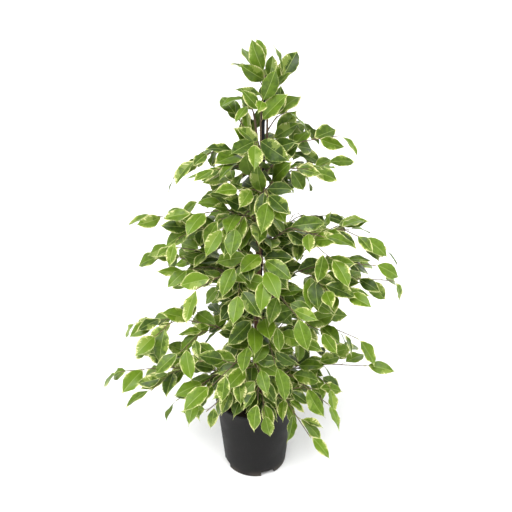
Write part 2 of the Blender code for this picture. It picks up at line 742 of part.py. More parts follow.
def leaf_object(name, leaf, collection, material):
    mesh = bpy.data.meshes.new(name)
    mesh.from_pydata(leaf_points(leaf), [], LEAF_FACES)
    weld(mesh)
    return new_object(name, mesh, collection, material)


class Room:
    """The room that is already taken, as search trees with their boxes and their owners."""

    def __init__(self):
        self.taken = []

    def take(self, owner, points, faces):
        low = Vector([min(point[i] for point in points) for i in range(3)])
        high = Vector([max(point[i] for point in points) for i in range(3)])
        self.taken.append((owner, low, high, BVHTree.FromPolygons(points, faces)))

    def take_mesh(self, owner, mesh):
        points = [vertex.co.copy() for vertex in mesh.vertices]
        self.take(owner, points, [tuple(face.vertices) for face in mesh.polygons])

    def is_free(self, points, faces, leave_out=None):
        """Whether a shape meets nothing taken, apart from what the left-out owner holds."""
        low = Vector([min(point[i] for point in points) for i in range(3)])
        high = Vector([max(point[i] for point in points) for i in range(3)])
        if low.z < FLOOR_CLEARANCE:
            return False
        tree = None
        for owner, other_low, other_high, other in self.taken:
            if owner == leave_out or any(low[i] > other_high[i] or high[i] < other_low[i] for i in range(3)):
                continue
            tree = tree or BVHTree.FromPolygons(points, faces)
            if tree.overlap(other):
                return False
        return True


BLADE_FACES = [face for face in LEAF_FACES if min(face) >= 3]


class FrontView:
    """The crown as it is seen from the front: which cells it holds, and which are covered by a leaf."""

    def __init__(self):
        self.held = {}
        self.covered = set()

    def holds(self, cell):
        """Whether a cell lies inside the crown's edge and in none of its gaps."""
        if cell not in self.held:
            across, height = (SIGHT_CELL * (place + 0.5) for place in cell)
            inside = False
            for (x, z), (next_x, next_z) in zip(CROWN_EDGE, CROWN_EDGE[1:] + CROWN_EDGE[:1]):
                if (z > height) != (next_z > height):
                    edge = x + (next_x - x) * (height - z) / (next_z - z)
                    inside = inside != (across < edge)
            in_gap = any(math.hypot(across - x, height - z) < radius for x, z, radius in LIGHT_GAPS)
            self.held[cell] = inside and not in_gap
        return self.held[cell]

    def cells(self, leaf):
        """The cells that the leaf's blade covers."""
        found = set()
        for share in SIGHT_ALONG:
            half = leaf.width / 2 * blade_fullness(share)
            left, _, right, _ = blade_points(leaf, share, half, 0)
            for aside in SIGHT_ACROSS:
                place = left.lerp(right, (aside + 1) / 2)
                seen = SIGHT_FROM.lerp(place, SIGHT_FROM.y / (SIGHT_FROM.y - place.y))
                found.add((math.floor(seen.x / SIGHT_CELL), math.floor(seen.z / SIGHT_CELL)))
        return found

    def worth(self, leaf):
        """What the leaf's cells are worth: all that it shows, more for bare ones, less for ones not held."""
        shown = self.cells(leaf)
        bare = shown - self.covered
        inside = sum(1 for cell in bare if self.holds(cell))
        return SHOWN_WORTH * len(shown) + inside - OUTSIDE_COST * (len(bare) - inside)

    def cover(self, leaf):
        self.covered |= self.cells(leaf)


def settle_leaf(name, number, node, room, view):
    """Of the first ways to grow the leaf that are clear of all else, the one that fills the crown best."""
    best, best_worth, free = None, 0, 0
    for attempt in range(ATTEMPTS):
        leaf = leaf_on(name, number, attempt, node)
        fat = leaf_points(leaf, TEST_THICKNESS, TEST_MARGIN)
        clear_of_others = room.is_free(fat, LEAF_FACES, leave_out=name + " wood")
        if not clear_of_others or not room.is_free(fat, BLADE_FACES):
            continue
        worth = view.worth(leaf)
        if not best or worth > best_worth:
            best, best_worth = leaf, worth
        free += 1
        if free == CHOICES:
            break
    if best:
        room.take(name, leaf_points(best, TEST_THICKNESS, TEST_MARGIN), LEAF_FACES)
        view.cover(best)
    return best


def make_wood(name, twigs, parts, material):
    """A spray's main twig and side shoots as loose bars."""
    bars = []
    for number, twig in enumerate(twigs):
        lengths = line_lengths(twig.line)
        radii = []
        for reached in lengths:
            share = reached / lengths[-1]
            radii.append(twig.root_radius + (twig.tip_radius - twig.root_radius) * share)
        bars.append(tube(f"{name}_twig_{number}", twig.line, radii, parts, material))
    return bars


def make_stem(name, stem, sprays, parts, material):
    """A stem with a short collar where each of its sprays leaves it."""
    line = [Vector(point) for point in stem.points]
    radii = [stem_radius(stem, point.z) for point in line]
    made = tube("stem_" + name, line, radii, parts, material, sides=stem.sides)
    collars = []
    for spray_name, spray, twigs in sprays:
        axis = stem_point(stem, spray.height)
        first = (twigs[0].line[1] - axis).normalized()
        end = twigs[0].line[0] - first * GAP
        wide = TWIG_ROOT_RADIUS * COLLAR_FLARE
        collars.append(tube(spray_name + "_collar", (axis, end), (wide, TWIG_ROOT_RADIUS), parts, material))
    fuse(made, collars)
    smooth(made.data)
    return made


def main():
    clear_scene()
    parts = new_collection("weeping_fig")
    cutters = new_collection("pot_cutters")
    plastic = new_material("pot plastic", (0.030, 0.030, 0.033), 0.55)
    earth = new_material("potting soil", (0.020, 0.013, 0.009), 0.95)
    cane_finish = new_material("cane", (0.012, 0.012, 0.012), 0.45)
    tie_finish = new_material("tie", (0.010, 0.010, 0.010), 0.40)
    bark = new_material("bark", (0.105, 0.055, 0.030), 0.75)
    foliage = new_material("foliage", (0.120, 0.260, 0.045), 0.40)

    room = Room()
    for solid in (
        make_pot(parts, cutters, plastic),
        make_soil(parts, earth),
        make_cane(parts, cane_finish),
    ):
        room.take_mesh(solid.name, solid.data)
    for number, height in enumerate(TIE_HEIGHTS):
        tie = make_tie(f"tie_{number + 1}", height, parts, tie_finish)
        room.take_mesh(tie.name, tie.data)

    sprays = []
    for number, spray in enumerate(SPRAYS):
        name = f"spray_{number + 1:02d}"
        sprays.append((name, spray, spray_twigs(name, spray)))
    for name, stem in STEMS.items():
        own = [row for row in sprays if row[1].stem == name]
        made = make_stem(name, stem, own, parts, bark)
        room.take_mesh(made.name, made.data)
    leafy = [(name, twigs) for name, _, twigs in sprays]
    for leader in LEADERS:
        name = "leader_" + leader.stem
        leafy.append((name, leader_twigs(name, leader)))

    view = FrontView()
    wood = {}
    for name, twigs in leafy:
        wood[name] = make_wood(name, twigs, parts, foliage)
    for name, bars in wood.items():
        for bar in bars:
            room.take_mesh(name + " wood", bar.data)
    for name, twigs in leafy:
        pieces = wood[name][1:]
        nodes = [node for twig in twigs for node in twig.nodes]
        for number, node in enumerate(nodes):
            leaf = settle_leaf(name, number, node, room, view)
            if leaf:
                pieces.append(leaf_object(f"{name}_leaf_{number}", leaf, parts, foliage))
        main_bar = wood[name][0]
        fuse(main_bar, pieces)
        main_bar.name = name
        main_bar.data.name = name
        smooth(main_bar.data)


main()
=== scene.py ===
"""Dresses a potted weeping fig: fine cream-edged leaves, twigs, barked stems, cane, ties, soil and pot.

Metres, +Z up. The origin is the middle of the pot's flat base, and -Y is the plant's front.
Headings are degrees about +Z: 0 is right, 90 is back, 180 is left and 270 is front.
"""

import math
import random
from collections import namedtuple

import bmesh
import bpy
import numpy as np
from bpy.props import FloatProperty, FloatVectorProperty, IntProperty, PointerProperty
from mathutils import Matrix, Vector, noise
from mathutils.bvhtree import BVHTree
from mathutils.kdtree import KDTree


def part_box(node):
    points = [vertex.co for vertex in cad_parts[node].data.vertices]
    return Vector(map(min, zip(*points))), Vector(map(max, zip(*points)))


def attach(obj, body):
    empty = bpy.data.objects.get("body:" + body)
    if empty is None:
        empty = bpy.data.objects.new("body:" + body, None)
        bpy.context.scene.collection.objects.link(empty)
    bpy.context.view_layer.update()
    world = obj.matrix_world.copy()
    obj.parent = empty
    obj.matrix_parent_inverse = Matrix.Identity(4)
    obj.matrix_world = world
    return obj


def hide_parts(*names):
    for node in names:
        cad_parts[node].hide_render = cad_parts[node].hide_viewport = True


bl_info = {
    "name": "Weeping Fig Dresser",
    "version": (1, 0, 0),
    "blender": (4, 5, 0),
    "location": "View3D > Sidebar > Fig",
    "description": "Dresses a potted weeping fig with fine leaves, bark, soil and a moulded pot",
    "category": "Object",
}

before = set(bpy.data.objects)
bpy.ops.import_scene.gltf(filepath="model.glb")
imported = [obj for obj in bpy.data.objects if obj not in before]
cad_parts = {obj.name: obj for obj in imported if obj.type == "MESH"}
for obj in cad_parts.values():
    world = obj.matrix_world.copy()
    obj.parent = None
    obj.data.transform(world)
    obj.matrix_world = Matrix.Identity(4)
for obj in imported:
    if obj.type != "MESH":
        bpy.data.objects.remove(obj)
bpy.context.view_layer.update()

UP = Vector((0, 0, 1))
MM = 1000

# The pot, soil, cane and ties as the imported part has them
GAP = 0.0003
POT_BASE_RADIUS = 0.083
POT_FLOOR = 0.003
LIP_OUT = 0.0015
RECESS_COUNT = 4
RECESS_HEADING = 293.6
RECESS_WIDTH = 0.0375
RECESS_HEIGHT = 0.013
RECESS_DEPTH = 0.016
DRAIN_RADIUS = 0.004
SOIL_MIDDLE = 0.180
SOIL_EDGE = 0.174
CANE_RADIUS = 0.004
CANE_FOOT = Vector((0.0078, 0.002, 0.022))
CANE_TOP = Vector((0.0188, 0.002, 0.972))
TIE_HEIGHTS = (0.617, 0.780)
TIE_CLEARANCE = 0.0005

# Stems: the points that each runs through, and its radius at the soil and at its top
Stem = namedtuple("Stem", "points low_radius top_radius")
STEMS = {
    "a": Stem(
        (
            (-0.0020, 0.0120, 0.110), (-0.0020, 0.0120, 0.190), (-0.0030, 0.0100, 0.260),
            (0.0010, 0.0040, 0.360), (0.0037, 0.0030, 0.480), (0.0056, 0.0020, 0.617),
            (0.0083, 0.0020, 0.780), (0.0060, 0.0020, 0.840), (-0.0010, 0.0040, 0.890),
        ),
        low_radius=0.0060,
        top_radius=0.0026,
    ),
    "b": Stem(
        (
            (0.0180, 0.0260, 0.120), (0.0180, 0.0260, 0.190), (0.0150, 0.0200, 0.300),
            (0.0135, 0.0135, 0.450), (0.0130, 0.0105, 0.617), (0.0180, 0.0110, 0.780),
            (0.0265, 0.0060, 0.840), (0.0275, 0.0020, 0.948),
        ),
        low_radius=0.0045,
        top_radius=0.0022,
    ),
    "c": Stem(
        (
            (0.0100, -0.0150, 0.120), (0.0100, -0.0150, 0.190), (0.0110, -0.0120, 0.320),
            (0.0115, -0.0080, 0.460), (0.0118, -0.0064, 0.617), (0.0135, -0.0064, 0.780),
            (0.0120, -0.0140, 0.870),
        ),
        low_radius=0.0042,
        top_radius=0.0021,
    ),
}

# Leafy sprays: the stem, the height it leaves at, its heading, how far out and how high its tip is, how
# much it bows above the straight line, and how many side shoots it has
Spray = namedtuple("Spray", "stem height heading reach tip bow shoots")
SPRAYS = (
    Spray("a", 0.235, 190, 0.338, 0.290, 0.020, 3),
    Spray("a", 0.258, 203, 0.205, 0.225, 0.030, 2),
    Spray("a", 0.330, 183, 0.295, 0.405, 0.040, 3),
    Spray("c", 0.300, 236, 0.190, 0.330, 0.030, 2),
    Spray("a", 0.430, 188, 0.165, 0.530, 0.030, 1),
    Spray("a", 0.470, 171, 0.230, 0.560, 0.035, 2),
    Spray("a", 0.505, 180, 0.205, 0.600, 0.030, 1),
    Spray("a", 0.555, 186, 0.235, 0.680, 0.030, 2),
    Spray("a", 0.690, 170, 0.135, 0.705, 0.025, 1),
    Spray("a", 0.802, 187, 0.175, 0.785, 0.035, 1),
    Spray("b", 0.225, 352, 0.265, 0.285, 0.020, 2),
    Spray("c", 0.235, 307, 0.190, 0.195, 0.035, 1),
    Spray("c", 0.270, 326, 0.190, 0.250, 0.030, 1),
    Spray("b", 0.330, 350, 0.240, 0.370, 0.050, 2),
    Spray("b", 0.400, 3, 0.335, 0.500, 0.045, 2),
    Spray("b", 0.470, 346, 0.265, 0.570, 0.040, 2),
    Spray("b", 0.545, 355, 0.290, 0.600, 0.070, 2),
    Spray("b", 0.600, 18, 0.190, 0.660, 0.035, 1),
    Spray("b", 0.690, 8, 0.150, 0.790, 0.020, 1),
    Spray("b", 0.770, 355, 0.165, 0.855, 0.030, 1),
    Spray("c", 0.290, 268, 0.135, 0.275, 0.040, 1),
    Spray("c", 0.360, 284, 0.140, 0.370, 0.040, 1),
    Spray("c", 0.400, 259, 0.130, 0.415, 0.045, 1),
    Spray("c", 0.455, 298, 0.165, 0.490, 0.040, 1),
    Spray("c", 0.500, 226, 0.190, 0.550, 0.040, 1),
    Spray("c", 0.550, 273, 0.150, 0.580, 0.040, 1),
    Spray("c", 0.600, 320, 0.170, 0.655, 0.035, 1),
    Spray("c", 0.645, 247, 0.130, 0.680, 0.040, 1),
    Spray("c", 0.700, 278, 0.105, 0.735, 0.035, 1),
    Spray("c", 0.740, 216, 0.115, 0.790, 0.030, 0),
    Spray("c", 0.800, 262, 0.090, 0.845, 0.025, 0),
    Spray("b", 0.280, 58, 0.240, 0.340, 0.035, 1),
    Spray("b", 0.300, 118, 0.255, 0.380, 0.035, 1),
    Spray("b", 0.400, 88, 0.255, 0.480, 0.040, 1),
    Spray("a", 0.450, 140, 0.225, 0.525, 0.035, 1),
    Spray("b", 0.500, 45, 0.245, 0.580, 0.040, 1),
    Spray("a", 0.580, 117, 0.200, 0.660, 0.035, 1),
    Spray("b", 0.640, 68, 0.180, 0.725, 0.035, 1),
    Spray("a", 0.680, 143, 0.150, 0.755, 0.030, 0),
    Spray("b", 0.740, 96, 0.130, 0.825, 0.025, 0),
    Spray("b", 0.830, 38, 0.100, 0.885, 0.020, 0),
    Spray("a", 0.815, 163, 0.050, 0.895, 0.010, 0),
    Spray("b", 0.932, 128, 0.046, 0.992, 0.005, 0),
    Spray("b", 0.865, 345, 0.040, 0.905, 0.010, 0),
    Spray("b", 0.918, 338, 0.034, 0.972, 0.005, 0),
    Spray("c", 0.225, 214, 0.150, 0.215, 0.030, 1),
    Spray("c", 0.215, 276, 0.105, 0.225, 0.035, 1),
    Spray("b", 0.725, 322, 0.125, 0.790, 0.030, 1),
    Spray("a", 0.635, 205, 0.150, 0.690, 0.035, 1),
)

# Leafy leaders that carry on from the stems' tops: the stem, heading, reach from the stem's top and height
Leader = namedtuple("Leader", "stem heading reach tip")
LEADERS = (
    Leader("a", 190, 0.016, 0.930),
    Leader("b", 165, 0.012, 0.990),
    Leader("c", 280, 0.012, 0.925),
)

# The crown's edge as it is seen from the front: the places (across, height) where lines of sight from
# SIGHT_FROM that graze it meet the plane y = 0, from its top down the left side and up the right side
SIGHT_FROM = Vector((0.002, -1.032, 0.897))
CROWN_EDGE = (
    (-0.005, 1.060), (-0.065, 1.040), (-0.060, 1.020), (-0.010, 0.980), (-0.065, 0.940), (-0.060, 0.890),
    (-0.035, 0.835), (-0.110, 0.825), (-0.175, 0.795), (-0.195, 0.745), (-0.105, 0.745), (-0.085, 0.735),
    (-0.165, 0.710), (-0.245, 0.685), (-0.285, 0.635), (-0.225, 0.645), (-0.260, 0.595), (-0.285, 0.535),
    (-0.230, 0.530), (-0.250, 0.485), (-0.125, 0.490), (-0.185, 0.450), (-0.345, 0.390), (-0.310, 0.340),
    (-0.285, 0.320), (-0.250, 0.265), (-0.350, 0.285), (-0.400, 0.250), (-0.345, 0.180), (-0.200, 0.180),
    (-0.175, 0.110), (-0.120, 0.100), (-0.025, 0.065),
    (0.025, 0.080), (0.085, 0.120), (0.090, -0.005), (0.130, 0.110), (0.210, -0.010), (0.280, 0.045),
    (0.200, 0.170), (0.255, 0.170), (0.230, 0.230), (0.175, 0.260), (0.225, 0.290), (0.350, 0.240),
    (0.340, 0.320), (0.205, 0.370), (0.255, 0.385), (0.195, 0.445), (0.250, 0.475), (0.310, 0.435),
    (0.400, 0.445), (0.415, 0.490), (0.350, 0.515), (0.325, 0.590), (0.285, 0.640), (0.220, 0.685),
    (0.095, 0.660), (0.065, 0.715), (0.160, 0.740), (0.150, 0.785), (0.225, 0.780), (0.240, 0.820),
    (0.185, 0.870), (0.100, 0.870), (0.095, 0.945), (0.060, 0.960), (0.090, 0.990), (0.080, 1.015),
    (0.035, 1.045),
)

# Gaps in the crown, on the same plane, that the light shows through: place (across, height) and radius
LIGHT_GAPS = (
    (-0.015, 0.960, 0.015), (-0.120, 0.785, 0.020), (-0.075, 0.775, 0.015), (-0.045, 0.785, 0.015),
    (-0.075, 0.695, 0.020), (-0.045, 0.670, 0.015), (-0.200, 0.645, 0.015), (-0.235, 0.605, 0.015),
    (-0.070, 0.605, 0.015), (0.100, 0.795, 0.015), (0.130, 0.760, 0.020), (0.195, 0.650, 0.020),
    (0.235, 0.635, 0.020), (0.150, 0.595, 0.020), (0.190, 0.585, 0.020), (0.225, 0.590, 0.020),
    (0.290, 0.520, 0.020), (0.330, 0.500, 0.015), (-0.120, 0.495, 0.020), (-0.155, 0.470, 0.015),
    (-0.230, 0.555, 0.015), (-0.200, 0.365, 0.015), (-0.160, 0.335, 0.015), (-0.245, 0.325, 0.015),
    (-0.095, 0.345, 0.020), (-0.130, 0.145, 0.020), (0.150, 0.110, 0.025), (0.225, 0.385, 0.020),
)

# How a leaf's place in the crown is judged: the size of a cell of the view, where the blade is looked at
# along and across, what each cell that it shows is worth, and what one outside the crown or in a gap costs
SIGHT_CELL = 0.008
SIGHT_ALONG = (0.04, 0.14, 0.24, 0.34, 0.44, 0.54, 0.64, 0.74, 0.84, 0.94)
SIGHT_ACROSS = (-0.85, -0.42, 0, 0.42, 0.85)
SHOWN_WORTH = 0.4
OUTSIDE_COST = 1.7

# Twigs: their sizes, and how side shoots are set along them and turned, as shares of the lengths
TWIG_PIECE = 0.085
TWIG_ROOT_RADIUS = 0.0019
TWIG_TIP_RADIUS = 0.0010
SHOOT_ROOT_RADIUS = 0.0013
COLLAR_LENGTH = 0.005
BARE_SHARE = 0.12
LEAST_BARE = 0.022
SHOOT_FIRST = 0.34
SHOOT_SPAN = 0.42
SHOOT_SHIFT = 0.04
SHOOT_ANGLE = 48
SHOOT_ANGLE_VARIES = 8
SHOOT_LEAST = 0.035
SHOOT_REACH = 0.42
SHOOT_FALL = 1.05
SHOOT_RISE = (-0.15, 0.35)
SHOOT_BOW = 0.12
SHOOT_BARE_SHARE = 0.42
SHOOT_SCALE = 0.95
LEADER_BEND = 0.018
LEADER_BARE = 0.010

# How leaves are spaced and sized along a twig
INTERNODE = 0.0545
LEADER_INTERNODE = 0.017
INTERNODE_VARIES = (0.85, 1.15)
CROWDING = (1.25, 0.70)
TIP_ROOM = 0.45
TIP_INSET = 0.003
ROOT_SCALE = 1.04
SCALE_FALL = 0.22
TIP_SCALE = 0.86

# Leaves
LEAF_LENGTH = 0.081
LEAF_WIDTH_SHARE = 0.55
STALK_LENGTH = 0.013
STALK_RADIUS = 0.00055
BROAD_SHARE = 0.24
BROAD_WIDTH = 0.96
NARROW_SHARE = 0.62
NARROW_WIDTH = 0.80
LENGTH_VARIES = (0.84, 1.16)
WIDTH_VARIES = (0.92, 1.10)
STALK_VARIES = (0.85, 1.25)
ARCH = (0.20, 0.75)
FOLD_DEGREES = (6, 20)

# How a leaf points and faces: its pull outwards, sideways and down, and towards the light
FORWARD = (0.80, 1.40)
SPREAD = (0.35, 1.05)
TIP_SPREAD = 0.15
DROOP = (-0.25, 1.10, 0.15)
STALK_LIFT = 0.35
STRAY = 0.12
ROLL = 0.28
FACE_UP = 0.75
FACE_OUT = 0.35
FACE_ACROSS = (-0.1, 0.4)
FRONT_LIGHT = Vector((0, -0.4, 0))

# How many ways a leaf is tried, how each later one strays, droops and shrinks, and the room it keeps
ATTEMPTS = 30
STRAY_GROWS = 12
MOST_DROOP = 1.4
SHRINK = 0.006
TEST_THICKNESS = 0.0036
TEST_MARGIN = 0.0010
FLOOR_CLEARANCE = 0.012

Leaf = namedtuple("Leaf", "root base along up length width arch fold")
Node = namedtuple("Node", "place tangent side scale")
Twig = namedtuple("Twig", "line root_radius tip_radius nodes")

# How finely each kind of piece is made, and how many points to each side smooth a stem
BLADE_SHARES = np.array([
    0, 0.025, 0.07, 0.13, 0.20, 0.28, 0.36, 0.45, 0.54, 0.63, 0.72, 0.80, 0.87, 0.92, 0.96, 1,
])
BLADE_ACROSS = np.array([-1, -0.84, -0.62, -0.38, -0.14, 0, 0.14, 0.38, 0.62, 0.84, 1])
TWIG_STEP = 0.005
TWIG_SIDES = 8
STALK_SIDES = 6
STALK_STEPS = 5
STEM_STEP = 0.006
STEM_SIDES = 20
STEM_SMOOTHING = 4
POT_STEPS = 144
DRAIN_SIDES = 32
CANE_SIDES = 32
CANE_STEPS = 60
TIE_STEPS = 72
TIE_SIDES = 10
TAIL_STEPS = 24
TAIL_SIDES = 8
SOIL_RINGS = 34
SOIL_SPOKES = 90

# The blade's outline: where its body ends and its drip tip begins, and how full it is
BODY_SHARE = 0.90
BODY_SKEW = 0.93
BODY_POWER = 0.84
DRIP_HALF_WIDTH = 0.11
DRIP_SHARE = 0.20
BODY_WIDTH = 0.92
LEAST_HALF_WIDTH = 0.012

# How blades vary: the tip's curl, the margin's teeth and waves, the cupping, the bend and the twist
TIP_CURL = 0.035
CURL_FROM = 0.7
TEETH = (3.2, 5.5)
TEETH_PACES = (2.05, 2.15)
SECOND_TEETH = 0.6
TEETH_DEPTH = (0.010, 0.042)
LOPSIDED = 0.07
WAVES = (1.5, 3.0)
WAVE_HEIGHT = (0.25, 1.0)
WAVE_POWER = 2.2
CUPPING = (0.15, 0.50)
BLADE_BEND = 0.05
BLADE_TWIST = 0.34
TWIST_POWER = 1.5

# The blade's thickness: how much thinner its edge is, and its midrib's groove above and keel below
EDGE_THINNING = 0.5
RIB_GROOVE = 0.00018
RIB_KEEL = 0.00055
RIB_THINNING = 0.75

# The leaf stalk: its radius at its two ends, how far it runs into the blade and down in it, and its bow
STALK_RADII = (0.00078, 0.00058)
STALK_INTO_BLADE = 0.003
STALK_SINK = 0.0003
STALK_BOW = 0.45

# Cream patches: the share of leaves that have one, and how large it is
PATCHED_SHARE = 0.42
PATCH_SIZE = (0.25, 1.2)

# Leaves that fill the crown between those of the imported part
REST_SPACING = 0.030
REST_FIRST = (0.2, 0.7)
REST_VARIES = (0.8, 1.2)
REST_END = 0.86
REST_THINNING = 0.55
REST_ATTEMPTS = 14
REST_CHOICES = 6
LEAST_WORTH = -2.5
REST_SCALE = (0.62, 0.98)

# Leaves on the stem beside a spray's root: their turns from its heading, their drops below it, how both
# vary, how far out on the stem they stand, how they rise and their size
AXIL_PLACES = ((-62, 0.012), (58, 0.006), (-118, 0.024), (12, 0.018))
AXIL_TURN = 18
AXIL_SHIFT = 0.008
AXIL_OUT = 0.7
AXIL_RISE = 0.35
AXIL_SCALE = (0.70, 1.0)

# How near a blade's tip must lie to a packed point, and how many leaves must be found so
TIP_MATCH = 0.0001
LEAST_FOUND = 100

# Fine twigs: their swellings at the root and at each leaf, the bud at the tip, the age of their bark, and
# how far down its stem a leader starts
ROOT_SWELLING = 0.55
ROOT_SWELLING_LENGTH = 0.004
KNOT_SWELLING = 0.30
KNOT_SWELLING_LENGTH = 0.003
BUD_PLACES = (-0.001, 0.0015, 0.004, 0.007, 0.0085)
BUD_RADII = np.array([0.9, 1.25, 0.95, 0.45, 0.08])
MAIN_TWIG_AGE = 0.25
SHOOT_AGE = 0.6
LEADER_ROOT = 0.004

# Stems: their swellings at the soil and at old leaf scars, their unevenness, and how the bark ages upwards
FOOT_SWELLING = 0.35
FOOT_SWELLING_LENGTH = 0.012
FIRST_SCAR = 0.02
SCAR_SWELLING = (0.06, 0.16)
SCAR_LENGTH = 0.0035
SCAR_SPACING = (0.022, 0.045)
BARK_LUMPS = 140
BARK_LUMP_HEIGHT = 0.14
BARK_AGEING = 1.5

# The pot's smaller mouldings: its lip, its rounded foot, its floor's corner and the recesses' edges, and
# how far the tools that shape the recesses reach past them
LIP_EDGE = 0.0011
LIP_UNDER_EDGE = 0.0006
LIP_STEP = 0.0012
LIP_STEP_OUT = 0.0004
FOOT_ROUNDING = 0.0028
FLOOR_CORNER = 0.002
WALL_HEIGHTS = (0.05, 0.10, 0.15)
WALL_FOOT = 0.012
RECESS_EDGE = 0.0012
RECESS_PAST = 0.010
PLUG_TOP = 0.05
CUT_PAST = 0.004
DRAIN_PAST = 0.002
RECESS_HEADINGS = [RECESS_HEADING + 360 / RECESS_COUNT * number for number in range(RECESS_COUNT)]

# The soil: the scale, height and level of its two kinds of lump, how far it sinks and where its body ends
SOIL_LUMPS = ((70, 0.0018, 0), (210, 0.0011, 3))
SOIL_SINK = 0.0010
SOIL_FOOT = 0.020

# Crumbs and fibres on the soil: where they lie, their sizes, how rough they are and how they lie
CRUMB_REACH = 0.97
CRUMB_SIZE = (0.0008, 0.0030)
CRUMB_WIDTH = (0.6, 1.0)
CRUMB_HEIGHT = (0.5, 0.8)
LARGE_SHARE = 0.1
LARGE_TIMES = 1.5
FIBRE_SHARE = 0.16
FIBRE_SIZE = (0.0052, 0.0006, 0.0005)
FIBRE_VARIES = (0.5, 1.2)
FIBRE_PALENESS = (0.4, 1.0)
CRUMB_LUMPS = 1.7
CRUMB_LUMP_HEIGHT = 0.45
CRUMB_TURN = 6.28
CRUMB_TILT = 0.4
CRUMB_STANDS = 0.35

# The cane's rounded top: its height, the angles of its rings and the radius that it closes to
CANE_DOME = 0.0030
DOME_DEGREES = (20, 40, 60, 78)
DOME_LEAST = 0.35

# The ties: the wire's radius, its rise and fall round the stems, and its two twisted ends
TIE_WIRE = 0.0009
TIE_RISE = 0.0006
TAIL_FROM = 50
TAIL_WIRE = 0.0007
TAIL_REACH = 0.010
TAIL_FALL = 0.002
TAIL_SPREAD = 0.0009
TAIL_TURNS = 2.25

# The floor's upward sweep, the lights and the camera's sensor
SWEEP_BEND = 1.2
SWEEP_HEIGHT = 5.0
FLOOR_GAP = 0.0002
KEY_SPREAD = math.radians(40)
KEY_PLACE = (-0.5, -1.6, 3.2)
SIDE_PLACES = {"left_light": (-1.9, -1.3, 0.9), "right_light": (1.5, -1.9, 0.9)}
SIDE_SIZE = (0.5, 2.0)
LIT_PLACE = Vector((0, 0, 0.5))
SENSOR = 36

# Slots of a spray's finishes
TOP_SIDE, UNDER_SIDE, STALK_WOOD, TWIG_WOOD = range(4)

# Leaf colour: the side veins' slant and spacing, and the grain, in waves to a millimetre, of the cream's
# tongues, of its drifts along the margin and of its streaks, of the green's mottling and of the surface
VEIN_SLANT = 0.6
VEIN_SPACING = 1.7
TONGUE_GRAIN = 0.30
DRIFT_GRAIN = 0.045
STREAK_GRAIN = 0.8
MOTTLE_GRAIN = 0.10
SURFACE_GRAIN = 1.6

# The cream: its margin's width from leaf to leaf and along a leaf, as shares of the usual one, the depth
# of its tongues and patches in millimetres, how they are stretched, the levels of the drifts between
# which each comes in, and the softness of its edge and of the pale green's
EDGING = (0.10, 1.65)
EDGING_DRIFT = (0.0, 1.35)
LEAST_EDGING = -0.05
TONGUE_TIMES = 4.5
TONGUE_DEPTH = 2.6
TONGUE_MIDDLE = 0.44
TONGUE_STRETCH = 0.22
TONGUE_LEVELS = (0.46, 0.62)
PATCH_LEVELS = (0.36, 0.58)
EDGING_LEVELS = (0.34, 0.60)
PATCH_DEPTH = 36.0
CREAM_SOFTNESS = 0.35
PALE_SOFTNESS = 0.8
PALE_REACH = 0.45
PALE_STREAKS = 9.0
STREAK_MIDDLE = 0.55
STREAK_STRETCH = 0.12
IVORY_LEVELS = (0.44, 0.74)
PALE_STRENGTH = 0.55

# The green and its veins: what youth, the leaf and its mottling add to the tone, where the veins lie in
# millimetres, and how strong they and the midrib are
YOUTH_TONE = 0.40
LEAF_TONE = 0.45
MOTTLE_TONE = 1.2
MOTTLE_MIDDLE = 0.40
VEIN_WIDTH = 0.55
VEIN_START = (0.3, 1.6)
VEIN_RELIEF = 0.22
VEIN_STRENGTH = 0.07
RIB_STRENGTH = 0.62
RIB_EDGES = (0.85, 0.25)
UNDERSIDE_STRENGTH = 0.45

# The other finishes: how much cracks, rings and scuffs are drawn out, how far up dust lies in
# millimetres, and the colours that specks, stalks, dust and fibres go to
CRACK_STRETCH = 0.16
RING_STRETCH = 0.15
SCUFF_STRETCH = 0.12
DUST_HEIGHT = 22.0
SPECK_COLOUR = (0.30, 0.24, 0.16)
STALK_BROWN = (0.200, 0.115, 0.045)
DUST_COLOUR = (0.115, 0.098, 0.080)
FIBRE_COLOUR = (0.120, 0.070, 0.036)

# What is added to noise so that each leaf, each side of it, and each stem, twig and stalk has its own
LEAF_SHIFT = 97.0
SIDE_SHIFT = 5.0
EDGING_SHIFT = 13.7
WOOD_SHIFT = 61.0
STALK_SHIFT = 43.0
BARK_SHIFT = 50
CRUMB_SHIFT = 90


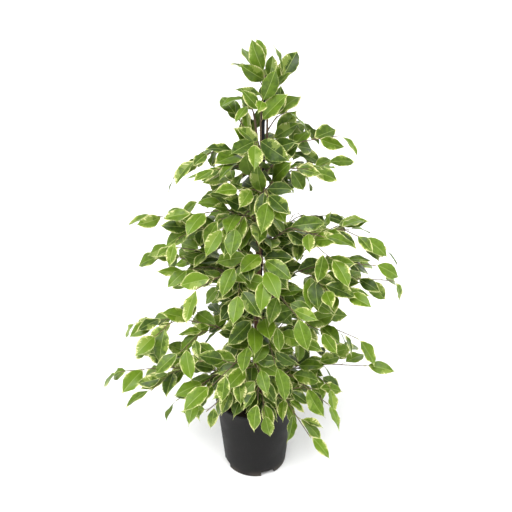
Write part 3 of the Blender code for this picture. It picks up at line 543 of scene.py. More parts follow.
class FigLeafSettings(bpy.types.PropertyGroup):
    """Sizes and colours of the leaves."""

    dark_green: FloatVectorProperty(
        name="Dark green", description="Colour of a grown leaf", subtype="COLOR", size=3, min=0, max=1,
        default=(0.024, 0.052, 0.003),
    )
    bright_green: FloatVectorProperty(
        name="Bright green", description="Colour of a young leaf", subtype="COLOR", size=3, min=0, max=1,
        default=(0.118, 0.205, 0.010),
    )
    pale_green: FloatVectorProperty(
        name="Pale green", description="Colour between the green and the cream", subtype="COLOR", size=3,
        min=0, max=1, default=(0.260, 0.340, 0.060),
    )
    cream: FloatVectorProperty(
        name="Cream", description="Colour of the blade's margin", subtype="COLOR", size=3, min=0, max=1,
        default=(0.700, 0.680, 0.320),
    )
    midrib: FloatVectorProperty(
        name="Midrib", description="Colour of the blade's midrib", subtype="COLOR", size=3, min=0, max=1,
        default=(0.330, 0.410, 0.110),
    )
    underside: FloatVectorProperty(
        name="Underside", description="Colour that the blade's underside is paled with", subtype="COLOR",
        size=3, min=0, max=1, default=(0.150, 0.225, 0.045),
    )
    margin: FloatProperty(
        name="Margin", description="Usual width of the cream margin", unit="LENGTH", min=0, max=0.01,
        default=0.0011,
    )
    wave: FloatProperty(
        name="Wave", description="Greatest height of the waves along the margin", unit="LENGTH", min=0,
        max=0.01, default=0.0030,
    )
    thickness: FloatProperty(
        name="Thickness", description="Thickness of the blade beside its midrib", unit="LENGTH", min=0.0001,
        max=0.002, default=0.00035,
    )
    rest_share: FloatProperty(
        name="Fill", description="Share of the crown's free places that get a filling leaf", min=0, max=1,
        default=0.85,
    )


class FigWoodSettings(bpy.types.PropertyGroup):
    """Sizes and colours of the stems and twigs."""

    bark: FloatVectorProperty(
        name="Bark", description="Colour of the bark near the soil", subtype="COLOR", size=3, min=0, max=1,
        default=(0.165, 0.062, 0.030),
    )
    upper_bark: FloatVectorProperty(
        name="Upper bark", description="Colour of the bark near the top", subtype="COLOR", size=3, min=0,
        max=1, default=(0.120, 0.080, 0.048),
    )
    young_twig: FloatVectorProperty(
        name="Young twig", description="Colour of the twigs' tips", subtype="COLOR", size=3, min=0, max=1,
        default=(0.110, 0.090, 0.035),
    )
    twig_share: FloatProperty(
        name="Twig thickness", description="The fine twigs' radius as a share of the plain ones'", min=0.4,
        max=1, default=0.92,
    )


class FigPotSettings(bpy.types.PropertyGroup):
    """Sizes and colours of the pot, the soil, the cane and the ties."""

    rim_radius: FloatProperty(
        name="Rim radius", description="Radius of the pot's lip", unit="LENGTH", min=0.02, max=0.5,
        default=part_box("pot")[1].x,
    )
    height: FloatProperty(
        name="Height", description="Height of the pot", unit="LENGTH", min=0.02, max=1,
        default=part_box("pot")[1].z,
    )
    wall: FloatProperty(
        name="Wall", description="Thickness of the pot's wall", unit="LENGTH", min=0.0005, max=0.01,
        default=0.0022,
    )
    lip: FloatProperty(
        name="Lip", description="Height of the pot's lip", unit="LENGTH", min=0.001, max=0.05,
        default=0.006,
    )
    plastic: FloatVectorProperty(
        name="Plastic", description="Colour of the pot", subtype="COLOR", size=3, min=0, max=1,
        default=(0.0095, 0.0090, 0.0090),
    )
    soil: FloatVectorProperty(
        name="Soil", description="Colour of the soil", subtype="COLOR", size=3, min=0, max=1,
        default=(0.026, 0.016, 0.010),
    )
    clods: IntProperty(
        name="Clods", description="How many crumbs lie on the soil", min=0, max=2000, default=620,
    )
    cane: FloatVectorProperty(
        name="Cane", description="Colour of the cane", subtype="COLOR", size=3, min=0, max=1,
        default=(0.011, 0.011, 0.012),
    )


class FigStageSettings(bpy.types.PropertyGroup):
    """The floor, the light and the camera."""

    floor: FloatVectorProperty(
        name="Floor", description="Colour of the floor", subtype="COLOR", size=3, min=0, max=1,
        default=(0.97, 0.97, 0.97),
    )
    sky: FloatProperty(
        name="Sky", description="Strength of the light from all round", min=0, max=5, default=0.62,
    )
    key: FloatProperty(
        name="Key light", description="Strength of the soft light from the front and above", min=0, max=10,
        default=3.0,
    )
    side_power: FloatProperty(
        name="Side lights", description="Power of the tall lights at both sides", unit="POWER", min=0,
        max=500, default=12,
    )
    sweep: FloatProperty(
        name="Sweep", description="Radius of the floor's flat part, before it sweeps up", unit="LENGTH",
        min=2, max=50, default=4.5,
    )
    eye: FloatVectorProperty(
        name="Camera", description="Place of the camera", subtype="TRANSLATION", unit="LENGTH", size=3,
        default=(0.002, -1.032, 0.897),
    )
    look_down: FloatProperty(
        name="Look down", description="How far the camera looks down", subtype="ANGLE", unit="ROTATION",
        default=math.radians(17.26),
    )
    lens: FloatProperty(
        name="Lens", description="Focal length on a 36 mm sensor", subtype="DISTANCE_CAMERA", unit="CAMERA",
        default=31.64,
    )


def heading_vector(degrees):
    return Vector((math.cos(math.radians(degrees)), math.sin(math.radians(degrees)), 0))


def stem_radius(stem, height):
    """The stem's radius at a height: thickest at the soil, and even below it."""
    low, top = stem.points[1][2], stem.points[-1][2]
    share = min(max((height - low) / (top - low), 0), 1)
    return stem.low_radius + (stem.top_radius - stem.low_radius) * share


def stem_point(stem, height):
    """The middle of the stem at a height."""
    for low, high in zip(stem.points, stem.points[1:]):
        if height <= high[2]:
            share = (height - low[2]) / (high[2] - low[2])
            return Vector(low).lerp(Vector(high), share)
    return Vector(stem.points[-1])


def twig_line(start, end, bow, pieces):
    """Points of a twig that rises from its start and bows over to its end."""
    line = []
    for step in range(pieces + 1):
        share = step / pieces
        line.append(start.lerp(end, share) + UP * 4 * bow * share * (1 - share))
    return line


def line_lengths(line):
    lengths = [0.0]
    for here, there in zip(line, line[1:]):
        lengths.append(lengths[-1] + (there - here).length)
    return lengths


def line_point(line, distance):
    """The point and the direction at a distance along a line."""
    lengths = line_lengths(line)
    for number, reached in enumerate(lengths[1:]):
        if distance <= reached or number == len(lengths) - 2:
            step = line[number + 1] - line[number]
            share = (distance - lengths[number]) / step.length
            return line[number] + step * share, step.normalized()


def leaf_nodes(draw, line, bare, scale, internode=INTERNODE):
    """Where leaves stand on a twig: on alternate sides past its bare root, and one at its tip."""
    length = line_lengths(line)[-1]
    side = draw.choice((-1, 1))
    nodes = []
    distance = bare
    while distance < length - internode * TIP_ROOM:
        place, tangent = line_point(line, distance)
        along = distance / length
        nodes.append(Node(place, tangent, side, scale * (ROOT_SCALE - SCALE_FALL * along)))
        side = -side
        crowding = CROWDING[0] + (CROWDING[1] - CROWDING[0]) * along
        distance += internode * crowding * draw.uniform(*INTERNODE_VARIES)
    tangent = (line[-1] - line[-2]).normalized()
    nodes.append(Node(line[-1] - tangent * TIP_INSET, tangent, 0, scale * TIP_SCALE))
    return nodes


def spray_twigs(name, spray):
    """The spray's main twig and its side shoots."""
    draw = random.Random(name)
    stem = STEMS[spray.stem]
    axis = stem_point(stem, spray.height)
    out = heading_vector(spray.heading)
    end = Vector((axis.x, axis.y, spray.tip)) + out * spray.reach
    pieces = max(2, round(spray.reach / TWIG_PIECE))
    line = twig_line(axis, end, spray.bow, pieces)
    first = (line[1] - line[0]).normalized()
    flat = math.hypot(first.x, first.y)
    collar = stem_radius(stem, spray.height) / flat + COLLAR_LENGTH
    line[0] = axis + first * (collar + GAP)
    length = line_lengths(line)[-1]
    nodes = leaf_nodes(draw, line, max(length * BARE_SHARE, LEAST_BARE), 1)
    twigs = [Twig(line, TWIG_ROOT_RADIUS, TWIG_TIP_RADIUS, nodes)]
    side = draw.choice((-1, 1))
    for number in range(spray.shoots):
        share = SHOOT_FIRST + SHOOT_SPAN * number / spray.shoots
        share += draw.uniform(-SHOOT_SHIFT, SHOOT_SHIFT)
        start = line_point(line, length * share)[0]
        angle = SHOOT_ANGLE + draw.uniform(-SHOOT_ANGLE_VARIES, SHOOT_ANGLE_VARIES)
        turned_out = spray.heading + side * angle
        shoot_length = SHOOT_LEAST + SHOOT_REACH * spray.reach * (SHOOT_FALL - share)
        rise = shoot_length * draw.uniform(*SHOOT_RISE)
        shoot_end = start + heading_vector(turned_out) * shoot_length + UP * rise
        shoot = twig_line(start, shoot_end, shoot_length * SHOOT_BOW, 2)
        shoot_nodes = leaf_nodes(draw, shoot, shoot_length * SHOOT_BARE_SHARE, SHOOT_SCALE)
        twigs.append(Twig(shoot, SHOOT_ROOT_RADIUS, TWIG_TIP_RADIUS, shoot_nodes))
        side = -side
    return twigs


def leader_twigs(name, leader):
    """A leafy tip that carries on from a stem's top."""
    draw = random.Random(name)
    points = STEMS[leader.stem].points
    top = Vector(points[-1])
    onward = (top - Vector(points[-2])).normalized()
    end = Vector((top.x, top.y, leader.tip)) + heading_vector(leader.heading) * leader.reach
    line = [top + onward * GAP, top + onward * LEADER_BEND, end]
    nodes = leaf_nodes(draw, line, LEADER_BARE, SHOOT_SCALE, LEADER_INTERNODE)
    return [Twig(line, STEMS[leader.stem].top_radius, TWIG_TIP_RADIUS, nodes)]


def leaf_on(name, number, attempt, node):
    """One way for a leaf to grow from its node; each later attempt strays further from the first."""
    draw = random.Random(f"{name} {number} {attempt}")
    stray = 1 + attempt / STRAY_GROWS
    level = Vector((node.tangent.x, node.tangent.y, 0))
    level = level.normalized() if level.length > 0.2 else heading_vector(draw.uniform(0, 360))
    across = UP.cross(level) * (node.side or draw.choice((-1, 1)))
    spread = draw.uniform(*SPREAD) if node.side else TIP_SPREAD
    droop = draw.triangular(*DROOP) * min(stray, MOST_DROOP)
    forward = draw.uniform(*FORWARD)
    stray_turn = Vector([draw.gauss(0, STRAY * stray) for _ in range(3)])
    along = (node.tangent * forward + across * spread - UP * droop + stray_turn).normalized()
    stalk = (along + node.tangent * 0.5 + UP * STALK_LIFT).normalized()
    roll = draw.gauss(0, ROLL * stray)
    facing = UP * FACE_UP + level * FACE_OUT + across * draw.uniform(*FACE_ACROSS) + FRONT_LIGHT
    lift = facing - along * facing.dot(along)
    lift = lift.normalized() if lift.length > 0.05 else along.orthogonal().normalized()
    lift = Matrix.Rotation(roll, 3, along) @ lift
    length = LEAF_LENGTH * node.scale * draw.uniform(*LENGTH_VARIES) * (1 - SHRINK * attempt)
    width = length * LEAF_WIDTH_SHARE * draw.uniform(*WIDTH_VARIES)
    base = node.place + stalk * STALK_LENGTH * draw.uniform(*STALK_VARIES)
    arch = draw.uniform(*ARCH)
    fold = math.radians(draw.uniform(*FOLD_DEGREES))
    return Leaf(node.place, base, along, lift, length, width, arch, fold)


def blade_place(leaf, share):
    """The middle of the blade at a share of its length, and its onward and upward directions there."""
    angle = leaf.arch * share
    turn_along = leaf.along * math.sin(angle) - leaf.up * (1 - math.cos(angle))
    middle = leaf.base + turn_along * leaf.length / leaf.arch
    onward = leaf.along * math.cos(angle) - leaf.up * math.sin(angle)
    upward = leaf.up * math.cos(angle) + leaf.along * math.sin(angle)
    return middle, onward, upward


def stalk_ring(middle, onward, across, radius):
    """Three points round the leaf stalk: two above and one below."""
    across = (across - onward * across.dot(onward)).normalized()
    above = across.cross(onward)
    return [
        middle - across * radius + above * radius * 0.5,
        middle + across * radius + above * radius * 0.5,
        middle - above * radius,
    ]


def blade_points(leaf, share, half_width, half_thickness):
    """The blade's left edge, middle above, right edge and middle below, at a share of its length."""
    middle, _, upward = blade_place(leaf, share)
    across = leaf.along.cross(leaf.up)
    lean = upward * math.sin(leaf.fold)
    left = middle + (lean - across * math.cos(leaf.fold)) * half_width
    right = middle + (lean + across * math.cos(leaf.fold)) * half_width
    rise = upward * half_thickness
    return [left, middle + rise, right, middle - rise]


def blade_fullness(share):
    """The blade's half width at a share of its length, as a share of its greatest one."""
    stops = ((0, 0), (BROAD_SHARE, BROAD_WIDTH), (NARROW_SHARE, NARROW_WIDTH), (1, 0))
    for (low, width), (high, next_width) in zip(stops, stops[1:]):
        if share <= high:
            return width + (next_width - width) * (share - low) / (high - low)


# The leaf's points are the stalk's root ring 0-2 and top ring 3-5, the blade's broad section 6-9 and
# narrow section 10-13, and its tip 14. These are the blade's faces, from the stalk's top ring to the tip.
BLADE_FACES = (
    (3, 7, 6), (3, 4, 7), (4, 8, 7), (5, 6, 9), (5, 9, 8), (3, 6, 5), (4, 5, 8),
    (6, 7, 11), (6, 11, 10), (7, 8, 11), (8, 12, 11),
    (6, 13, 9), (6, 10, 13), (9, 13, 8), (8, 13, 12),
    (10, 11, 14), (11, 12, 14), (10, 14, 13), (13, 14, 12),
)


def leaf_points(leaf):
    """The points of a fatter leaf, to test the room round it."""
    stalk = (leaf.base - leaf.root).normalized()
    across = leaf.along.cross(leaf.up)
    half = leaf.width / 2
    thick = TEST_THICKNESS / 2
    tip = blade_place(leaf, 1 + TEST_MARGIN / leaf.length)[0]
    return (
        stalk_ring(leaf.root, stalk, across, STALK_RADIUS)
        + stalk_ring(leaf.base, leaf.along, across, STALK_RADIUS + TEST_MARGIN / 2)
        + blade_points(leaf, BROAD_SHARE, half * BROAD_WIDTH + TEST_MARGIN, thick)
        + blade_points(leaf, NARROW_SHARE, half * NARROW_WIDTH + TEST_MARGIN, thick)
        + [tip]
    )


def box_of(points):
    """The lowest and highest corner of a box round the points."""
    return tuple(Vector([edge(point[i] for point in points) for i in range(3)]) for edge in (min, max))


class Room:
    """The room that is already taken, as search trees with their boxes."""

    def __init__(self):
        self.taken = []

    def take(self, points, faces):
        self.taken.append((*box_of(points), BVHTree.FromPolygons(points, faces)))

    def is_free(self, points, faces):
        """Whether a shape is clear of the floor and of all that is taken."""
        low, high = box_of(points)
        if low.z < FLOOR_CLEARANCE:
            return False
        tree = None
        for other_low, other_high, other in self.taken:
            if any(low[i] > other_high[i] or high[i] < other_low[i] for i in range(3)):
                continue
            tree = tree or BVHTree.FromPolygons(points, faces)
            if tree.overlap(other):
                return False
        return True


class FrontView:
    """The crown as it is seen from the front: which cells it holds, and which are covered by a leaf."""

    def __init__(self):
        self.held = {}
        self.covered = set()

    def holds(self, cell):
        """Whether a cell lies inside the crown's edge and in none of its gaps."""
        if cell not in self.held:
            across, height = (SIGHT_CELL * (place + 0.5) for place in cell)
            inside = False
            for (x, z), (next_x, next_z) in zip(CROWN_EDGE, CROWN_EDGE[1:] + CROWN_EDGE[:1]):
                if (z > height) != (next_z > height):
                    edge = x + (next_x - x) * (height - z) / (next_z - z)
                    inside = inside != (across < edge)
            in_gap = any(math.hypot(across - x, height - z) < radius for x, z, radius in LIGHT_GAPS)
            self.held[cell] = inside and not in_gap
        return self.held[cell]

    def cells(self, leaf):
        """The cells that the leaf's blade covers."""
        found = set()
        for share in SIGHT_ALONG:
            half = leaf.width / 2 * blade_fullness(share)
            left, _, right, _ = blade_points(leaf, share, half, 0)
            for aside in SIGHT_ACROSS:
                place = left.lerp(right, (aside + 1) / 2)
                seen = SIGHT_FROM.lerp(place, SIGHT_FROM.y / (SIGHT_FROM.y - place.y))
                found.add((math.floor(seen.x / SIGHT_CELL), math.floor(seen.z / SIGHT_CELL)))
        return found

    def worth(self, leaf):
        """What its cells are worth: all that it shows, more for bare ones, less for ones not held."""
        shown = self.cells(leaf)
        bare = shown - self.covered
        inside = sum(1 for cell in bare if self.holds(cell))
        return SHOWN_WORTH * len(shown) + inside - OUTSIDE_COST * (len(bare) - inside)

    def cover(self, leaf):
        self.covered |= self.cells(leaf)


class Mould:
    """Collects one piece's points and faces, with what its finishes read at each point."""

    def __init__(self):
        self.points, self.spots, self.kinds = [], [], []
        self.faces, self.slots = [], []
        self.count = 0

    def add(self, points, faces, spots, kind, slot=0):
        """A closed shape. Its spots are places on it in millimetres, and its kind is even all over."""
        self.points.append(np.asarray(points, float))
        self.spots.append(np.asarray(spots, float))
        self.kinds.append(np.tile(np.asarray(kind, float), (len(points), 1)))
        self.faces.extend(tuple(i + self.count for i in face) for face in faces)
        self.slots.extend([slot] * len(faces))
        self.count += len(points)

    def join(self, faces, slot):
        """More faces on the points of the shape that was added last."""
        first = self.count - len(self.points[-1])
        self.faces.extend(tuple(i + first for i in face) for face in faces)
        self.slots.extend([slot] * len(faces))

    def add_rod(self, line, radii, sides, closed=False):
        """A rod or a wire whose finish reads the place itself."""
        points, faces, _ = tube_shape(line, radii, sides, closed)
        self.add(points, faces, points * MM, (0.5, 0, 0))

    def cast(self, name, finishes, nodes):
        """The finished piece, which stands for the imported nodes."""
        mesh = bpy.data.meshes.new(name)
        mesh.from_pydata(np.concatenate(self.points).tolist(), [], self.faces)
        mark(mesh, np.concatenate(self.spots), np.concatenate(self.kinds))
        for finish in finishes:
            mesh.materials.append(finish)
        mesh.polygons.foreach_set("material_index", self.slots)
        return place_piece(name, mesh, nodes)


def mark(mesh, spots, kinds):
    """Writes the two values that the finishes read on the mesh's points."""
    for name, values in (("spot", spots), ("kind", kinds)):
        attribute = mesh.attributes.new(name, "FLOAT_VECTOR", "POINT")
        attribute.data.foreach_set("vector", np.asarray(values, np.float32).ravel())


def add_object(name, data):
    """A new object in the scene."""
    made = bpy.data.objects.new(name, data)
    bpy.context.scene.collection.objects.link(made)
    return made


def place_piece(name, mesh, nodes, sharp_degrees=50):
    """Smooths a finished mesh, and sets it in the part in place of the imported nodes."""
    mesh.validate()
    mesh.shade_smooth()
    mesh.set_sharp_from_angle(angle=math.radians(sharp_degrees))
    piece = add_object(name, mesh)
    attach(piece, "root")
    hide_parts(*nodes)
    return piece


class Finish:
    """A material, with short ways to add and join its shader's nodes."""

    def __init__(self, name, colour):
        self.material = bpy.data.materials.new(name)
        self.material.use_nodes = True
        self.material.diffuse_color = (*colour, 1)
        self.tree = self.material.node_tree
        self.shader = self.tree.nodes["Principled BSDF"]

    def put(self, socket, value):
        """Joins another node's output to a socket, or sets the socket to a plain value."""
        if isinstance(value, bpy.types.NodeSocket):
            self.tree.links.new(value, socket)
        elif socket.type == "RGBA":
            socket.default_value = (*value[:3], 1)
        else:
            socket.default_value = value

    def add(self, kind, inputs, **choices):
        node = self.tree.nodes.new(kind)
        for choice, value in choices.items():
            setattr(node, choice, value)
        for place, value in dict(inputs).items():
            self.put(node.inputs[place], value)
        return node

    def sum(self, operation, *values):
        return self.add("ShaderNodeMath", enumerate(values), operation=operation).outputs[0]

    def fade(self, value, low, high, start=0.0, end=1.0):
        """Goes smoothly from start to end while the value goes from low to high."""
        inputs = enumerate((value, low, high, start, end))
        return self.add("ShaderNodeMapRange", inputs, interpolation_type="SMOOTHSTEP").outputs[0]

    def within(self, value, reach, softness, strength=1.0):
        """Goes smoothly from the strength to 0 round where the value meets a reach."""
        low, high = (self.sum(way, reach, softness) for way in ("ADD", "SUBTRACT"))
        return self.fade(value, low, high, 0.0, strength)

    def blend(self, share, first, second):
        """A colour between two colours."""
        return self.add("ShaderNodeMix", {0: share, 6: first, 7: second}, data_type="RGBA").outputs[2]

    def grain(self, place, scale, detail=3.0, roughness=0.55):
        """Smooth noise from about 0.2 to 0.8."""
        inputs = {"Vector": place, "Scale": scale, "Detail": detail, "Roughness": roughness}
        return self.add("ShaderNodeTexNoise", inputs).outputs[0]

    def read(self, name):
        """The three parts of a value written on the mesh."""
        node = self.add("ShaderNodeAttribute", {}, attribute_name=name, attribute_type="GEOMETRY")
        return self.split(node.outputs["Vector"])

    def split(self, vector):
        return tuple(self.add("ShaderNodeSeparateXYZ", {0: vector}).outputs)

    def gather(self, x, y, z):
        return self.add("ShaderNodeCombineXYZ", {0: x, 1: y, 2: z}).outputs[0]

    def emboss(self, height, strength, distance):
        """Raises the surface by a height from 0 to 1, over a distance in metres."""
        inputs = {"Strength": strength, "Distance": distance, "Height": height}
        self.put(self.shader.inputs["Normal"], self.add("ShaderNodeBump", inputs).outputs[0])

    def coat(self, colour, roughness, shine=0.5):
        self.put(self.shader.inputs["Base Color"], colour)
        self.put(self.shader.inputs["Roughness"], roughness)
        self.put(self.shader.inputs["Specular IOR Level"], shine)
        return self.material


def leaf_finish(name, look, under):
    """The blade's finish on one side: green, with a ragged cream margin, a pale midrib and side veins."""
    finish = Finish(name, look.bright_green)
    along, across, edge = finish.read("spot")
    seed, youth, cream = finish.read("kind")
    margin = look.margin * MM
    away = finish.sum("ABSOLUTE", across)
    side = finish.sum("SIGN", across)
    slant = finish.sum("SUBTRACT", along, finish.sum("MULTIPLY", away, VEIN_SLANT))
    number = finish.sum("MULTIPLY_ADD", seed, LEAF_SHIFT, finish.sum("MULTIPLY", side, SIDE_SHIFT))

    veinwise = finish.gather(slant, finish.sum("MULTIPLY", away, TONGUE_STRETCH), number)
    tongues = finish.grain(veinwise, TONGUE_GRAIN, 4.0, 0.6)
    drifts = finish.grain(finish.gather(along, number, 0.0), DRIFT_GRAIN, 1.0)
    patch = finish.sum("MAXIMUM", finish.sum("MULTIPLY", cream, side), 0.0)
    patch = finish.sum("MULTIPLY", patch, finish.fade(drifts, *PATCH_LEVELS))
    edging = finish.sum("FRACT", finish.sum("MULTIPLY", seed, EDGING_SHIFT))
    edging = finish.sum("MULTIPLY", finish.fade(edging, 0.0, 1.0, *EDGING), margin)
    edging = finish.sum("MULTIPLY", edging, finish.fade(drifts, *EDGING_LEVELS, *EDGING_DRIFT))
    depth = finish.sum("MULTIPLY", edging, finish.fade(drifts, *TONGUE_LEVELS))
    depth = finish.sum("MULTIPLY", depth, TONGUE_TIMES)
    depth = finish.sum("ADD", depth, finish.sum("MULTIPLY_ADD", patch, PATCH_DEPTH, TONGUE_DEPTH))
    inner = finish.sum("MULTIPLY_ADD", finish.sum("SUBTRACT", tongues, TONGUE_MIDDLE), depth, edging)
    inner = finish.sum("MAXIMUM", inner, margin * LEAST_EDGING)
    creamy = finish.within(edge, inner, CREAM_SOFTNESS)

    streakwise = finish.gather(slant, finish.sum("MULTIPLY", away, STREAK_STRETCH), number)
    streaks = finish.grain(streakwise, STREAK_GRAIN, 3.0)
    reach = finish.sum("MULTIPLY_ADD", depth, PALE_REACH, inner)
    reach = finish.sum("MULTIPLY_ADD", finish.sum("SUBTRACT", streaks, STREAK_MIDDLE), PALE_STREAKS, reach)
    pale = finish.within(edge, reach, PALE_SOFTNESS, PALE_STRENGTH)

    mottle = finish.grain(finish.gather(along, across, number), MOTTLE_GRAIN, 4.0, 0.6)
    tone = finish.sum("MULTIPLY_ADD", youth, YOUTH_TONE, finish.sum("MULTIPLY", seed, LEAF_TONE))
    patchy = finish.sum("MULTIPLY", finish.sum("SUBTRACT", mottle, MOTTLE_MIDDLE), MOTTLE_TONE)
    tone = finish.sum("ADD", tone, patchy)
    green = finish.blend(finish.fade(tone, 0.0, 1.0), look.dark_green, look.bright_green)

    vein = finish.fade(finish.sum("PINGPONG", slant, VEIN_SPACING), VEIN_WIDTH, 0.0)
    vein = finish.sum("MULTIPLY", vein, finish.fade(away, *VEIN_START))
    rib = finish.fade(away, *RIB_EDGES)
    ivory = finish.blend(finish.fade(streaks, *IVORY_LEVELS), look.cream, look.pale_green)
    colour = finish.blend(pale, green, look.pale_green)
    colour = finish.blend(creamy, colour, ivory)
    colour = finish.blend(finish.sum("MULTIPLY", vein, VEIN_STRENGTH), colour, look.pale_green)
    colour = finish.blend(finish.sum("MULTIPLY", rib, RIB_STRENGTH), colour, look.midrib)

    fine = finish.grain(finish.gather(along, across, number), SURFACE_GRAIN, 2.0)
    relief = finish.sum("MULTIPLY_ADD", vein, VEIN_RELIEF, rib)
    if under:
        colour = finish.blend(UNDERSIDE_STRENGTH, colour, look.underside)
        finish.emboss(finish.sum("MULTIPLY_ADD", fine, 0.25, relief), 0.5, 0.0004)
        return finish.coat(colour, finish.fade(fine, 0.2, 0.8, 0.52, 0.66), 0.18)
    finish.emboss(finish.sum("SUBTRACT", finish.sum("MULTIPLY", fine, 0.2), relief), 0.4, 0.0003)
    return finish.coat(colour, finish.fade(mottle, 0.25, 0.75, 0.31, 0.45), 0.25)


def wood_finish(name, old, young, speckle):
    """Bark with fine lengthwise cracks and pale specks, from the old colour to the young one."""
    finish = Finish(name, old)
    along, around, _ = finish.read("spot")
    seed, age, _ = finish.read("kind")
    number = finish.sum("MULTIPLY", seed, WOOD_SHIFT)
    place = finish.gather(along, around, number)
    length = finish.sum("MULTIPLY", along, CRACK_STRETCH)
    streak = finish.grain(finish.gather(length, around, number), 0.8, 5.0, 0.65)
    cloud = finish.grain(place, 0.055, 3.0)
    girth = finish.sum("MULTIPLY", around, RING_STRETCH)
    rings = finish.grain(finish.gather(along, girth, number), 0.55, 3.0)
    tone = finish.sum("ADD", age, finish.sum("MULTIPLY", finish.sum("SUBTRACT", cloud, 0.5), 1.2))
    colour = finish.blend(finish.fade(tone, 0.0, 1.0), old, young)
    cracks = finish.fade(streak, 0.55, 0.32, 0.0, 0.65)
    colour = finish.blend(cracks, colour, [part * 0.35 for part in old])
    specks = finish.fade(finish.grain(place, 0.9, 1.0), 0.66, 0.72, 0.0, speckle)
    colour = finish.blend(specks, colour, SPECK_COLOUR)
    finish.emboss(finish.sum("MULTIPLY_ADD", rings, 0.6, streak), 0.55, 0.0006)
    return finish.coat(colour, finish.fade(streak, 0.3, 0.7, 0.80, 0.58), 0.35)


def stalk_finish(look):
    """A leaf stalk: yellow-green, browner on some leaves."""
    finish = Finish("leaf_stalk", look.pale_green)
    along, around, _ = finish.read("spot")
    seed, _, _ = finish.read("kind")
    number = finish.sum("MULTIPLY", seed, STALK_SHIFT)
    soft = finish.grain(finish.gather(along, around, number), 0.25, 3.0)
    tone = finish.sum("ADD", soft, finish.sum("MULTIPLY", seed, 0.5))
    colour = finish.blend(finish.fade(tone, 0.45, 1.0), look.pale_green, STALK_BROWN)
    finish.emboss(soft, 0.2, 0.0002)
    return finish.coat(colour, finish.fade(soft, 0.3, 0.7, 0.38, 0.52))


def plastic_finish(name, colour, grain_height, low, high):
    """Moulded plastic: a fine grain, soft cloudiness, faint upright scuffs and dust near the floor."""
    finish = Finish(name, colour)
    x, y, z = finish.read("spot")
    place = finish.gather(x, y, z)
    cloud = finish.grain(place, 0.022, 4.0)
    upright = finish.gather(x, y, finish.sum("MULTIPLY", z, SCUFF_STRETCH))
    scuffs = finish.grain(upright, 0.35, 5.0, 0.7)
    worn = finish.fade(scuffs, 0.56, 0.74, 0.0, 0.30)
    low_down = finish.fade(z, DUST_HEIGHT, 0.0)
    dust = finish.sum("MULTIPLY", low_down, finish.fade(cloud, 0.35, 0.6, 0.1, 0.5))
    grey = [min(part * 2.6 + 0.012, 1) for part in colour]
    shade = finish.blend(finish.fade(cloud, 0.30, 0.70), [part * 0.86 for part in colour], colour)
    shade = finish.blend(worn, shade, grey)
    shade = finish.blend(dust, shade, DUST_COLOUR)
    finish.emboss(finish.grain(place, 1.4, 3.0), 0.35, grain_height)
    rough = finish.sum("ADD", finish.fade(cloud, 0.30, 0.70, low, high), finish.sum("MULTIPLY", dust, 0.3))
    return finish.coat(shade, rough, 0.12)


def soil_finish(colour):
    """Moist potting soil: dark crumbs, each of its own tone, with paler fibres."""
    finish = Finish("potting_soil", colour)
    x, y, z = finish.read("spot")
    seed, fibre, _ = finish.read("kind")
    place = finish.gather(x, y, z)
    crumb = finish.grain(place, 0.45, 5.0, 0.7)
    fine = finish.grain(place, 2.2, 3.0)
    tone = finish.sum("ADD", finish.sum("MULTIPLY", seed, 0.5), finish.sum("SUBTRACT", crumb, 0.25))
    wet, dry = ([part * times for part in colour] for times in (0.45, 2.3))
    shade = finish.blend(finish.fade(tone, 0.1, 0.9), wet, dry)
    shade = finish.blend(finish.sum("MULTIPLY", fibre, 0.8), shade, FIBRE_COLOUR)
    finish.emboss(finish.sum("MULTIPLY_ADD", fine, 0.4, crumb), 0.8, 0.0012)
    return finish.coat(shade, finish.fade(crumb, 0.3, 0.7, 0.95, 0.80), 0.25)


def tube_shape(line, radii, sides, closed=False):
    """Rings of points round a line, the faces between them and over its ends, and each point's spot."""
    line = np.asarray(line, float)
    radii = np.broadcast_to(np.asarray(radii, float), len(line))
    if closed:
        along = np.roll(line, -1, 0) - np.roll(line, 1, 0)
    else:
        along = np.gradient(line, axis=0)
    along /= np.linalg.norm(along, axis=1)[:, None]
    across = np.cross(along[0], (0.31, 0.17, 1.0))
    frames = []
    for heading in along:
        across = across - heading * across.dot(heading)
        across = across / np.linalg.norm(across)
        frames.append((across, np.cross(heading, across)))
    frames = np.array(frames)
    turn = 2 * math.pi * np.arange(sides) / sides
    round_about = np.cos(turn)[:, None] * frames[:, None, 0] + np.sin(turn)[:, None] * frames[:, None, 1]
    points = line[:, None] + radii[:, None, None] * round_about
    lengths = np.concatenate([[0], np.cumsum(np.linalg.norm(np.diff(line, axis=0), axis=1))])
    around = radii.mean() * MM * np.abs(turn - math.pi)
    spots = np.stack(np.broadcast_arrays(lengths[:, None] * MM, around[None], 0.0), -1)
    rings = len(line) if closed else len(line) - 1
    faces = []
    for ring in range(rings):
        here, there = ring * sides, (ring + 1) % len(line) * sides
        for i in range(sides):
            j = (i + 1) % sides
            faces.append((here + i, here + j, there + j, there + i))
    if not closed:
        faces.append(tuple(reversed(range(sides))))
        faces.append(tuple(range((len(line) - 1) * sides, len(line) * sides)))
    return points.reshape(-1, 3), faces, spots.reshape(-1, 3)


def smoothed(points, window):
    """Each point moved to the mean of those up to a window away on each side, fewer near the ends."""
    smooth = []
    for number in range(len(points)):
        wide = min(number, len(points) - 1 - number, window)
        smooth.append(points[number - wide:number + wide + 1].mean(0))
    return np.array(smooth)


def fine_line(line, step, reach=0.012):
    """A line of close points that follows the given line and rounds its corners."""
    lengths = line_lengths(line)
    count = max(3, round(lengths[-1] / step))
    at = np.linspace(0, lengths[-1], count + 1)
    corners = np.array([tuple(point) for point in line])
    points = np.stack([np.interp(at, lengths, corners[:, i]) for i in range(3)], 1)
    return smoothed(points, max(1, round(reach / step)))


